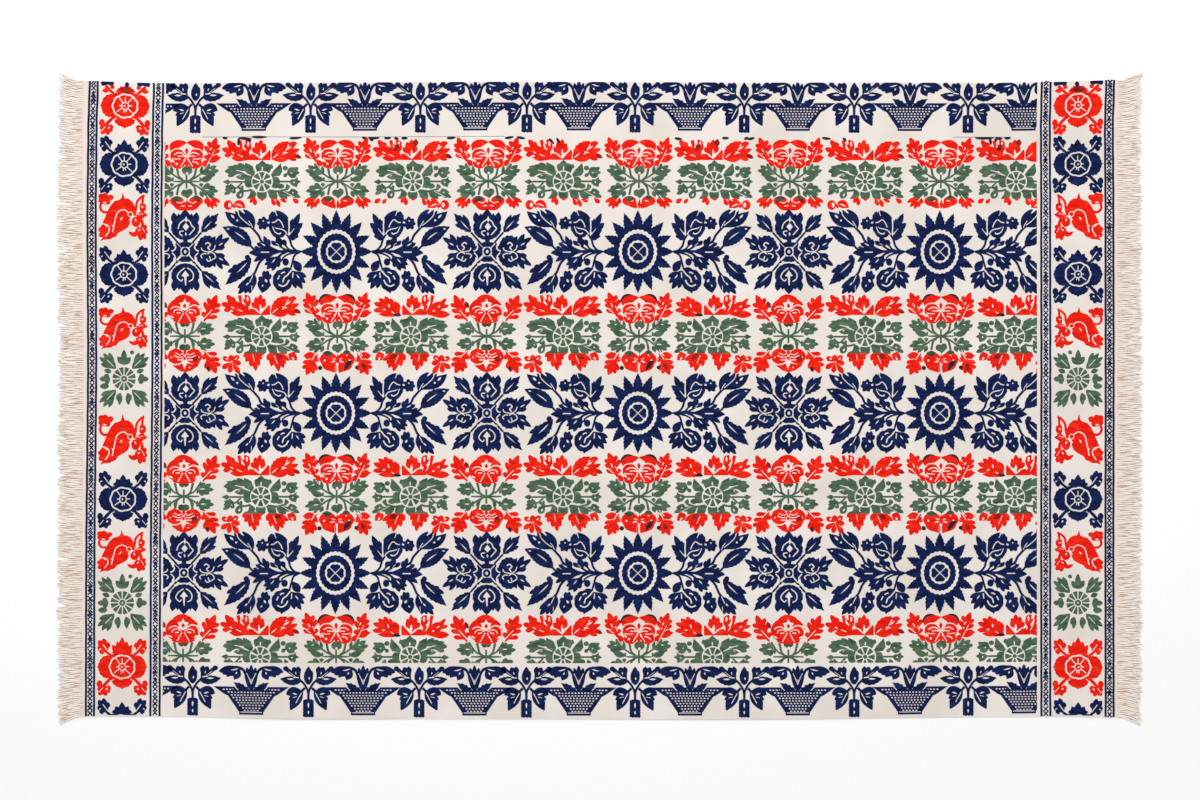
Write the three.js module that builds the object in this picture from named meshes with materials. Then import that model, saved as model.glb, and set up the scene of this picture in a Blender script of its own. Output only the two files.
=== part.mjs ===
// A figured woven coverlet, laid out flat: one thin cloth with a cut yarn fringe along each short end.
// Millimetres, +Z up. The long side lies along X, and the origin is on the surface under the middle.
import * as THREE from "three";

// The cloth, with its plain woven headings.
const LENGTH = 2060;
const WIDTH = 1260;
const THICK = 2;
const CELLS_LONG = 36;
const CELLS_WIDE = 22;

// The fringe: loose yarns that lie in tufts, drawn as the teeth of one comb.
const FRINGE_LENGTH = 48;
const FRINGE_THICK = 3;
const FRINGE_GAP = 0.3;
const SPINE = 4;
const TUFTS = 60;
const TUFT_SHORTEST = 0.88;
const TUFT_SWAY = 2.6;
const CORNER_FLARE = 22;
const FLARE_POWER = 9;

// A tuft from root to tip: how far along, its half width as a share of the pitch, its share of the flare.
const TUFT_STEPS = [
  { at: 0, half: 0.44, flare: 0 },
  { at: 0.55, half: 0.4, flare: 0.4 },
  { at: 1, half: 0.24, flare: 1 },
];

// How far the two long edges stray from straight, outwards, by place along the length.
const LONG_EDGES = [
  { at: -1.0, far: 3, near: -2 },
  { at: -0.84, far: -1, near: -2 },
  { at: -0.6, far: 0, near: 2 },
  { at: -0.1, far: 1.5, near: 3 },
  { at: 0.4, far: 0, near: 2.5 },
  { at: 0.75, far: -0.5, near: -1 },
  { at: 0.88, far: 1.5, near: -2 },
  { at: 1.0, far: 5, near: 0 },
];

// How far the two short ends stray, outwards, by place across the width.
const SHORT_ENDS = [
  { at: -1.0, left: 1, right: 0.5 },
  { at: -0.5, left: 1.5, right: 0 },
  { at: 0.1, left: -0.5, right: 0.5 },
  { at: 0.6, left: 2, right: 0 },
  { at: 0.85, left: 1, right: -1 },
  { at: 1.0, left: -1.5, right: 1.5 },
];

// Places where the cloth lies a little off the surface: low oval swells, turned in degrees.
const SWELLS = [
  { x: -700, y: 330, along: 290, across: 120, turn: 14, rise: 2.2 },
  { x: -760, y: -290, along: 230, across: 130, turn: -20, rise: 1.8 },
  { x: -330, y: -60, along: 330, across: 120, turn: 8, rise: 1.6 },
  { x: -240, y: 600, along: 330, across: 110, turn: -3, rise: 2.2 },
  { x: -560, y: -620, along: 260, across: 100, turn: 2, rise: 1.8 },
  { x: 240, y: -590, along: 340, across: 120, turn: 2, rise: 2.4 },
  { x: 420, y: 190, along: 280, across: 130, turn: -12, rise: 1.6 },
  { x: 560, y: 620, along: 250, across: 90, turn: 0, rise: 1.8 },
  { x: 770, y: -90, along: 150, across: 260, turn: 10, rise: 2 },
];

// The value of one column of a table, eased between its rows.
function between(rows, column, at) {
  const next = rows.findIndex((row) => row.at >= at);
  if (next <= 0) return rows[next === 0 ? 0 : rows.length - 1][column];
  const a = rows[next - 1];
  const b = rows[next];
  const share = THREE.MathUtils.smoothstep(at, a.at, b.at);
  return THREE.MathUtils.lerp(a[column], b[column], share);
}

// Where a point of the straight cloth lies once its edges stray.
function laid(x, y) {
  const u = x / (LENGTH / 2);
  const v = y / (WIDTH / 2);
  const endways = u > 0 ? between(SHORT_ENDS, "right", v) : between(SHORT_ENDS, "left", v);
  const sideways = v > 0 ? between(LONG_EDGES, "far", u) : between(LONG_EDGES, "near", u);
  return { x: x + endways * u ** 3, y: y + sideways * v ** 3 };
}

// How high the cloth lies off the surface at a point.
function lift(x, y) {
  let height = 0;
  for (const swell of SWELLS) {
    const turn = THREE.MathUtils.degToRad(swell.turn);
    const dx = x - swell.x;
    const dy = y - swell.y;
    const along = (dx * Math.cos(turn) + dy * Math.sin(turn)) / swell.along;
    const across = (dy * Math.cos(turn) - dx * Math.sin(turn)) / swell.across;
    const reach = Math.min(1, Math.hypot(along, across));
    height += swell.rise * Math.cos((reach * Math.PI) / 2) ** 2;
  }
  return height;
}

// The cloth: a thin slab cut into cells, whose every point is laid and lifted.
function clothGeometry() {
  const slab = new THREE.BoxGeometry(LENGTH, WIDTH, THICK, CELLS_LONG, CELLS_WIDE, 1);
  slab.translate(0, 0, THICK / 2);
  const points = slab.attributes.position;
  for (let i = 0; i < points.count; i += 1) {
    const x = points.getX(i);
    const y = points.getY(i);
    const place = laid(x, y);
    points.setXYZ(i, place.x, place.y, points.getZ(i) + lift(x, y));
  }
  return slab;
}

// A steady wobble between -1 and 1, so that no two tufts are alike.
function uneven(count, kind) {
  return Math.sin(count * 12.9898 + kind * 78.233);
}

// The fringe at the right end (side 1) or the left end (side -1).
function fringeGeometry(side) {
  const pitch = WIDTH / TUFTS;
  const outline = [];
  for (let i = 0; i <= CELLS_WIDE; i += 1) {
    const edge = laid((side * LENGTH) / 2, WIDTH * (i / CELLS_WIDE - 0.5));
    outline.push({ x: edge.x + side * FRINGE_GAP, y: edge.y });
  }
  for (let i = TUFTS - 1; i >= 0; i -= 1) {
    const y = pitch * (i + 0.5) - WIDTH / 2;
    const root = laid((side * LENGTH) / 2, y);
    const share = y / (WIDTH / 2);
    const flare = CORNER_FLARE * Math.sign(share) * Math.abs(share) ** FLARE_POWER;
    const sway = TUFT_SWAY * (1 - share ** 8);
    const reach = FRINGE_LENGTH * (1 - (1 - TUFT_SHORTEST) * uneven(i, side) ** 2);
    const rootX = root.x + side * (FRINGE_GAP + SPINE);
    const tipX = side * (LENGTH / 2 + FRINGE_GAP + reach);
    const steps = TUFT_STEPS.map((step) => {
      const straightY = THREE.MathUtils.lerp(root.y, y, step.at);
      const lean = flare * step.flare + sway * step.at * uneven(i, step.half);
      return {
        x: THREE.MathUtils.lerp(rootX, tipX, step.at),
        y: straightY + lean,
        half: step.half * pitch,
      };
    });
    steps.forEach((step) => outline.push({ x: step.x, y: step.y + step.half }));
    steps.reverse().forEach((step) => outline.push({ x: step.x, y: step.y - step.half }));
  }
  const shape = new THREE.Shape(outline.map((point) => new THREE.Vector2(point.x, point.y)));
  return new THREE.ExtrudeGeometry(shape, { depth: FRINGE_THICK, bevelEnabled: false });
}

// Unbleached cotton and dyed wool, both matt.
function yarnMaterial(color) {
  return new THREE.MeshStandardMaterial({ color, roughness: 0.92, metalness: 0 });
}

function piece(name, geometry, color) {
  const mesh = new THREE.Mesh(geometry, yarnMaterial(color));
  mesh.name = name;
  return mesh;
}

const coverlet = new THREE.Group();
coverlet.add(piece("cloth", clothGeometry(), "#e6dcd2"));
coverlet.add(piece("fringe_left", fringeGeometry(-1), "#e2d5c8"));
coverlet.add(piece("fringe_right", fringeGeometry(1), "#e2d5c8"));

export default coverlet;
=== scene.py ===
"""A figured wool and cotton coverlet, laid out flat with its fringed ends to the left and right."""

import cmath
import math
import random

import bmesh
import bpy
from mathutils import Matrix, Vector
from mathutils.geometry import delaunay_2d_cdt


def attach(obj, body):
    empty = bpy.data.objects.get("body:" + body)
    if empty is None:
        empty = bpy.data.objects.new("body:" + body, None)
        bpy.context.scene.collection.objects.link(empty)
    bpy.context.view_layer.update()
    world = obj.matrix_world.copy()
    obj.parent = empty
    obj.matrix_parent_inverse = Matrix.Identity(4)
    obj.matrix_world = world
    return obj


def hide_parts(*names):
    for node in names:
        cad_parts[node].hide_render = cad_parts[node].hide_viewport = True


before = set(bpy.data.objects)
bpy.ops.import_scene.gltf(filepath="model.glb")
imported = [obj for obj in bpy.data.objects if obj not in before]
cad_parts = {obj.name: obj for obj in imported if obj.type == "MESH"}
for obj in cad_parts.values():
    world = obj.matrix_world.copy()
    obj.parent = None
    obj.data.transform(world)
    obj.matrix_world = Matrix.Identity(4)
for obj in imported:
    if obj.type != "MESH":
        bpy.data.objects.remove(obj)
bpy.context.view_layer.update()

# ---------------------------------------------------------------------------------------------
# The ground cloth: one piece of undyed cotton, woven as a fine twill. Its edges stray a few
# millimetres from straight, and it lies flat with a few low swells that never pressed out.

LENGTH = 2060
WIDTH = 1260
THICK = 2
CLOTH_CELL = 19
COTTON = "#e3dbd3"
COTTON_DEEP = "#ddd4cb"
COTTON_PALE = "#e8e1da"
HEADING = "#e6d6c9"
TWILL_RIB = 4.2
TWILL_TURN = 52
BANDS_A_METRE = 3.3  # about what the wave texture draws at a scale of one
BUMP_DEPTH = 0.4
HEADING_FROM = 1018.5
HEADING_TO = 1020.5
LONG_EDGES = [
    # at: share of the half length, far and near: how far that edge bows outwards, in mm
    {"at": -1.0, "far": 3, "near": -2},
    {"at": -0.84, "far": -1, "near": -2},
    {"at": -0.6, "far": 0, "near": 2},
    {"at": -0.1, "far": 1.5, "near": 3},
    {"at": 0.4, "far": 0, "near": 2.5},
    {"at": 0.75, "far": -0.5, "near": -1},
    {"at": 0.88, "far": 1.5, "near": -2},
    {"at": 1.0, "far": 5, "near": 0},
]
SHORT_ENDS = [
    # at: share of the half width, left and right: how far that end bows outwards, in mm
    {"at": -1.0, "left": 1, "right": 0.5},
    {"at": -0.5, "left": 1.5, "right": 0},
    {"at": 0.1, "left": -0.5, "right": 0.5},
    {"at": 0.6, "left": 2, "right": 0},
    {"at": 0.85, "left": 1, "right": -1},
    {"at": 1.0, "left": -1.5, "right": 1.5},
]
SWELLS = [
    # centre, half length and half width of each low swell, its turn in degrees and its rise
    {"x": -700, "y": 330, "along": 290, "across": 120, "turn": 14, "rise": 2.2},
    {"x": -760, "y": -290, "along": 230, "across": 130, "turn": -20, "rise": 1.8},
    {"x": -330, "y": -60, "along": 330, "across": 120, "turn": 8, "rise": 1.6},
    {"x": -240, "y": 600, "along": 330, "across": 110, "turn": -3, "rise": 2.2},
    {"x": -560, "y": -620, "along": 260, "across": 100, "turn": 2, "rise": 1.8},
    {"x": 240, "y": -590, "along": 340, "across": 120, "turn": 2, "rise": 2.4},
    {"x": 420, "y": 190, "along": 280, "across": 130, "turn": -12, "rise": 1.6},
    {"x": 560, "y": 620, "along": 250, "across": 90, "turn": 0, "rise": 1.8},
    {"x": 770, "y": -90, "along": 150, "across": 260, "turn": 10, "rise": 2},
]


def between(rows, column, at):
    """A column of a table, read between its rows with a soft step."""
    at = min(max(at, rows[0]["at"]), rows[-1]["at"])
    for low, high in zip(rows, rows[1:]):
        if at <= high["at"]:
            share = (at - low["at"]) / (high["at"] - low["at"])
            share = share * share * (3 - 2 * share)
            return low[column] + (high[column] - low[column]) * share
    return rows[-1][column]


def on_cloth(x, y, above=0.0):
    """Where a point of the flat cloth lies once it is laid out, in metres above its underside."""
    u = x / (LENGTH / 2)
    v = y / (WIDTH / 2)
    far_x = between(SHORT_ENDS, "right" if u > 0 else "left", v)
    far_y = between(LONG_EDGES, "far" if v > 0 else "near", u)
    x, y = x + far_x * u**3, y + far_y * v**3
    lift = 0.0
    for swell in SWELLS:
        turn = math.radians(swell["turn"])
        dx, dy = x - swell["x"], y - swell["y"]
        along = (dx * math.cos(turn) + dy * math.sin(turn)) / swell["along"]
        across = (dy * math.cos(turn) - dx * math.sin(turn)) / swell["across"]
        away = min(1.0, math.hypot(along, across))
        lift += swell["rise"] * math.cos(away * math.pi / 2) ** 2
    return Vector((x, y, above + lift)) / 1000


def colour(code):
    """A linear colour from an sRGB hex code."""
    parts = [int(code[i : i + 2], 16) / 255 for i in (1, 3, 5)]
    return [p / 12.92 if p <= 0.04045 else ((p + 0.055) / 1.055) ** 2.4 for p in parts] + [1.0]


def add(tree, kind, settings, inputs):
    """Adds one node with its settings, and its inputs as numbers, colours or other nodes' outputs."""
    node = tree.nodes.new("ShaderNode" + kind)
    for name, value in settings.items():
        setattr(node, name, value)
    for name, value in inputs.items():
        if isinstance(value, bpy.types.NodeSocket):
            tree.links.new(value, node.inputs[name])
        else:
            node.inputs[name].default_value = value
    return node


def finish_piece(name, bm, material):
    """Makes an object at the origin from a bmesh and gives it its material."""
    mesh = bpy.data.meshes.new(name)
    bm.to_mesh(mesh)
    bm.free()
    mesh.materials.append(material)
    piece = bpy.data.objects.new(name, mesh)
    bpy.context.scene.collection.objects.link(piece)
    return piece


def matt_fibre(name, ior, roughness, specular):
    """A new material of matt fibre: gives it, its nodes, its shader and the place on the piece."""
    material = bpy.data.materials.new(name)
    material.use_nodes = True
    tree = material.node_tree
    shader = tree.nodes["Principled BSDF"]
    shader.inputs["IOR"].default_value = ior
    shader.inputs["Roughness"].default_value = roughness
    shader.inputs["Specular IOR Level"].default_value = specular
    return material, tree, shader, add(tree, "TexCoord", {}, {}).outputs["Object"]


def cotton_twill():
    """Undyed cotton, mill-spun and woven as a twill: matt, a little uneven in tone from thread to
    thread, with a fine diagonal rib. The rib is drawn coarser than life so that it shows."""
    material, tree, shader, place = matt_fibre("undyed_cotton_twill", 1.53, 0.92, 0.2)
    cloudy = add(tree, "TexNoise", {}, {"Vector": place, "Scale": 7.0, "Detail": 3.0})
    tones = add(tree, "ValToRGB", {}, {"Fac": cloudy.outputs["Fac"]})
    tones.color_ramp.elements[0].position = 0.36
    tones.color_ramp.elements[0].color = colour(COTTON_DEEP)
    tones.color_ramp.elements[1].position = 0.64
    tones.color_ramp.elements[1].color = colour(COTTON_PALE)
    tones.color_ramp.elements.new(0.5).color = colour(COTTON)
    turned = add(tree, "Mapping", {}, {"Vector": place, "Rotation": (0, 0, math.radians(TWILL_TURN))})
    rib = add(
        tree,
        "TexWave",
        {"wave_profile": "SIN"},
        {
            "Vector": turned.outputs["Vector"],
            "Scale": 1000 / TWILL_RIB / BANDS_A_METRE,
            "Distortion": 1.2,
            "Detail": 1.0,
            "Detail Scale": 3.0,
        },
    )
    shade = add(tree, "ValToRGB", {}, {"Fac": rib.outputs["Fac"]})
    shade.color_ramp.elements[0].color = (0.93, 0.92, 0.91, 1)
    shade.color_ramp.elements[1].color = (1, 1, 1, 1)
    layers = {0: 0.5, 6: tones.outputs["Color"], 7: shade.outputs["Color"]}
    ribbed = add(tree, "Mix", {"data_type": "RGBA", "blend_type": "MULTIPLY"}, layers)
    across = add(tree, "SeparateXYZ", {}, {"Vector": place})
    outwards = add(tree, "Math", {"operation": "ABSOLUTE"}, {0: across.outputs["X"]})
    reach = {"Value": outwards.outputs[0], "From Min": HEADING_FROM / 1000, "From Max": HEADING_TO / 1000}
    heading = add(tree, "MapRange", {"interpolation_type": "SMOOTHSTEP"}, reach)
    whole = {0: heading.outputs[0], 6: ribbed.outputs[2], 7: colour(HEADING)}
    toned = add(tree, "Mix", {"data_type": "RGBA"}, whole)
    tree.links.new(toned.outputs[2], shader.inputs["Base Color"])
    depth = {"Height": rib.outputs["Fac"], "Strength": 0.25, "Distance": BUMP_DEPTH / 1000}
    bump = add(tree, "Bump", {}, depth)
    tree.links.new(bump.outputs["Normal"], shader.inputs["Normal"])
    return material


ground = bmesh.new()
bmesh.ops.create_grid(
    ground,
    x_segments=round(LENGTH / CLOTH_CELL),
    y_segments=round(WIDTH / CLOTH_CELL),
    size=0.5,
    matrix=Matrix.Diagonal((LENGTH, WIDTH, 1, 1)),
)
for corner in ground.verts:
    corner.co = on_cloth(corner.co.x, corner.co.y, THICK)
ground_cloth = finish_piece("ground_cloth", ground, cotton_twill())
body = ground_cloth.modifiers.new("thickness", "SOLIDIFY")
body.thickness = THICK / 1000
body.offset = -1
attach(ground_cloth, "root")
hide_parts("cloth")

# ---------------------------------------------------------------------------------------------
# The navy roundels: sunbursts and rose medallions of fulled indigo wool, laid in over the cotton
# by a second weft. The wool stands a little proud of the twill, and its edge steps from thread
# to thread.

WOOL_PROUD = 0.35
WOOL_THICK = 0.6
NAVY = "#0a1a46"
NAVY_DEEP = "#030b30"
NAVY_PALE = "#12295d"
SPREAD = 1.6  # how much wider a strand lies once it is fulled
MERGE_ANGLE = 6  # in degrees, below which two stretches of an outline count as straight
SEAM_REACH = 300  # past both sides of any motif
ROWS_ACROSS = 110  # how fine the rows of weft are: changes of shade a metre, across and along
ROWS_ALONG = 45
LEAN = 0.0043  # sideways for each mm up the cloth
LEAN_FULL = 700  # how far left of the middle the lean is whole
drawn = []


def bowed(a, b, bend):
    """A bowed line from a to b: gives the point and the heading at a share of the way."""
    middle = (a + b) / 2 + 1j * (b - a) * bend

    def at(t):
        heading = (1 - t) * (middle - a) + t * (b - middle)
        return (1 - t) ** 2 * a + 2 * t * (1 - t) * middle + t * t * b, heading / abs(heading)

    return at


def spread(tone, wide):
    """How wide a strand of wool lies once fulling has closed its threads; the cotton stays put."""
    return wide if tone == "cream" else wide + SPREAD


def leaf(tone, a, b, wide, teeth=0, cut=0.35, bend=0.0, fat=0.45, blunt=1.0):
    """A leaf or petal from a to b, widest at the share fat, with an edge of teeth if they are given."""
    at = bowed(a, b, bend)
    wide = spread(tone, wide)
    skew = math.log(0.5) / math.log(fat)
    steps = [(t, 1) for t in (0.04, 0.12, 0.24, 0.37, 0.5, 0.63, 0.76, 0.88, 0.96)]
    if teeth:
        steps = [s for k in range(teeth) for s in ((k + 0.12, 1 - cut), (k + 0.88, 1))]
        steps = [(t / teeth, g) for t, g in steps]
    sides = []
    for side in (1j, -1j):
        edge = []
        for t, grown in steps:
            point, heading = at(t)
            half = wide / 2 * math.sin(math.pi * t**skew) ** blunt
            edge.append(point + side * heading * half * grown)
        sides.append(edge)
    drawn.append((tone, [a, *sides[0], b, *reversed(sides[1])]))


def disc(tone, centre, r, tall=None, waves=0, depth=0.05, points=24, turn=0.0):
    """A disc or oval, with a scalloped edge if waves are given."""
    r, tall = spread(tone, 2 * r) / 2, spread(tone, 2 * (tall or r)) / 2
    outline = []
    points = waves * 4 if waves else points
    for i in range(points):
        angle = 2 * math.pi * i / points
        swell = 1 - depth * (1 - abs(math.sin(waves * angle / 2))) if waves else 1.0
        point = complex(r * swell * math.cos(angle), tall * swell * math.sin(angle))
        outline.append(centre + cmath.rect(1, turn) * point)
    drawn.append((tone, outline))


def stem(tone, *points, wide=3.0, taper=1.0, steps=4):
    """A strip along a smooth line, wide at its start and wide times taper at its end."""
    line = list(points)
    wide = spread(tone, wide)
    if len(points) > 2:
        ends = [2 * points[0] - points[1], *points, 2 * points[-1] - points[-2]]
        line = []
        for p0, p1, p2, p3 in zip(ends, ends[1:], ends[2:], ends[3:]):
            for i in range(steps):
                t = i / steps
                pull = (2 * p0 - 5 * p1 + 4 * p2 - p3) * t * t + (3 * p1 - p0 - 3 * p2 + p3) * t**3
                line.append(p1 + ((p2 - p0) * t + pull) / 2)
        line.append(points[-1])
    left, right = [], []
    for i, point in enumerate(line):
        ahead = line[min(i + 1, len(line) - 1)] - line[max(i - 1, 0)]
        half = wide / 2 * (1 + (taper - 1) * i / (len(line) - 1)) * 1j * ahead / abs(ahead)
        left.append(point + half)
        right.append(point - half)
    drawn.append((tone, left + right[::-1]))


def gap(a, b, wide, **shape):
    """A leaf-shaped opening in the wool, where the cotton shows."""
    leaf("cream", a, b, wide, **shape)


def hole(centre, *radii, **shape):
    """A round or oval opening."""
    disc("cream", centre, *radii, **shape)


def vein(*points, **shape):
    """A line of bare cotton: a vein, or the gap between two petals."""
    stem("cream", *points, **shape)


def figure(draw, *options, seams=(), limber=False):
    """The flat shapes of a motif, drawn one over the other, as one mesh of triangles a tone. A tone
    such as red|green changes where the weft does, at the heights that seams gives from the top.
    Straight stretches are merged, unless they are so long that they have to bend with the cloth."""
    draw(*options)
    points, shapes, lines = [], [], []
    for seam in seams:
        lines.append((len(points), len(points) + 1))
        points += [(-SEAM_REACH, seam), (SEAM_REACH, seam)]
    for _, outline in drawn:
        area = sum((a.conjugate() * b).imag for a, b in zip(outline, outline[1:] + outline[:1]))
        shapes.append(range(len(points), len(points) + len(outline)))
        points += [(p.real, p.imag) for p in (outline if area > 0 else outline[::-1])]
    corners, _, faces, _, _, sources = delaunay_2d_cdt(points, lines, shapes, 1, 1e-5, True)
    toned = {}
    for face, source in zip(faces, sources):
        if source:
            middle = sum(corners[i].y for i in face) / 3
            tones = drawn[max(source)][0].split("|")
            tone = tones[min(len(tones) - 1, sum(middle < seam for seam in seams))]
            toned.setdefault(tone, []).append(face)
    toned.pop("cream", None)
    meshes = {}
    for tone in sorted(toned):
        bm = bmesh.new()
        for corner in corners:
            bm.verts.new((corner.x, corner.y, 0))
        bm.verts.ensure_lookup_table()
        for face in toned[tone]:
            bm.faces.new([bm.verts[i] for i in face])
        bmesh.ops.delete(bm, geom=[v for v in bm.verts if not v.link_faces], context="VERTS")
        if not limber:
            flat = math.radians(MERGE_ANGLE)
            bmesh.ops.dissolve_limit(bm, angle_limit=flat, verts=bm.verts, edges=bm.edges)
            bmesh.ops.triangulate(bm, faces=bm.faces)
        bmesh.ops.recalc_face_normals(bm, faces=bm.faces)
        meshes[tone] = bpy.data.meshes.new(tone)
        bm.to_mesh(meshes[tone])
        bm.free()
    drawn.clear()
    return meshes


woven = {}


def lean(x, y):
    """How far the left half of the weave leans: a few millimetres, out at the top, in below."""
    return LEAN * y * min(1, max(0, -x / LEAN_FULL))


def weave(meshes, x, y, flip=1, tall=1.0, keep=()):
    """Lays a motif on the cloth, mirrored if flip is -1, and cut to what keep holds: each
    entry is a point on the cutting line and the direction that is cut away."""
    for tone, mesh in meshes.items():
        bm = bmesh.new()
        bm.from_mesh(mesh)
        bmesh.ops.scale(bm, vec=(flip, tall, 1), verts=bm.verts)
        if flip < 0:
            bmesh.ops.reverse_faces(bm, faces=bm.faces)
        bmesh.ops.translate(bm, vec=(x + lean(x, y), y, 0), verts=bm.verts)
        for at, away in keep:
            every = [*bm.verts, *bm.edges, *bm.faces]
            bmesh.ops.bisect_plane(bm, geom=every, plane_co=at, plane_no=away, clear_outer=True)
        laid = bpy.data.meshes.new("laid")
        bm.to_mesh(laid)
        bm.free()
        woven.setdefault(tone, bmesh.new()).from_mesh(laid)
        bpy.data.meshes.remove(laid)


def fulled_wool(name, plain, deep, pale):
    """Dyed wool weft, fulled so that its threads close up: matt and a little hairy, with rows of
    weft a shade apart. The rows are drawn coarser than life so that they show."""
    material, tree, shader, place = matt_fibre(name, 1.54, 0.9, 0.12)
    rows = add(tree, "Mapping", {}, {"Vector": place, "Scale": (ROWS_ALONG, ROWS_ACROSS, 1.0)})
    noise = add(tree, "TexNoise", {}, {"Vector": rows.outputs["Vector"], "Scale": 1.0, "Detail": 3.0})
    tones = add(tree, "ValToRGB", {}, {"Fac": noise.outputs["Fac"]})
    tones.color_ramp.elements[0].position = 0.3
    tones.color_ramp.elements[0].color = colour(deep)
    tones.color_ramp.elements[1].position = 0.72
    tones.color_ramp.elements[1].color = colour(pale)
    tones.color_ramp.elements.new(0.5).color = colour(plain)
    tree.links.new(tones.outputs["Color"], shader.inputs["Base Color"])
    depth = {"Height": noise.outputs["Fac"], "Strength": 0.3, "Distance": BUMP_DEPTH / 1000}
    bump = add(tree, "Bump", {}, depth)
    tree.links.new(bump.outputs["Normal"], shader.inputs["Normal"])
    return material


def lay_wool(tone, name, material):
    """Turns what has been woven in a tone into a piece on the ground cloth."""
    bm = woven.pop(tone)
    for corner in bm.verts:
        corner.co = on_cloth(corner.co.x, corner.co.y, THICK + WOOL_PROUD)
    piece = finish_piece(name, bm, material)
    body = piece.modifiers.new("thickness", "SOLIDIFY")
    body.thickness = WOOL_THICK / 1000
    body.offset = -1
    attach(piece, "root")


def hand(tone, root, tips, wide=6, fat=0.66, blunt=0.8):
    """Rounded fingers that spread from one root to several tips."""
    for tip in tips:
        leaf(tone, root, tip, wide, fat=fat, blunt=blunt)


def sunburst():
    """Sixteen toothed rays round a scalloped ring and a four-part clover."""
    for k in range(16):
        angle = 2 * math.pi * k / 16
        tip = complex(72 * math.cos(angle), 83 * math.sin(angle))
        leaf("navy", tip * 0.4, tip, 20.5, teeth=7, cut=0.2, fat=0.38)
    disc("navy", 0, 46, 52)
    hole(0, 38.5, 44.5, waves=26, depth=0.05)
    disc("navy", 0, 31.5, 36, waves=26)
    hole(0, 21, 23, waves=14, depth=0.07)
    for k in range(4):
        for turn in (-0.34, 0.34):
            lobe = cmath.rect(10.6, k * math.pi / 2 + turn)
            disc("navy", complex(lobe.real, lobe.imag * 1.1), 6.2, points=14)
        leaf("navy", 0, cmath.rect(15, k * math.pi / 2), 17, fat=0.66)
    for k in range(4):
        vein(0, cmath.rect(18, math.pi / 4 + k * math.pi / 2), wide=1.7)


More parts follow.
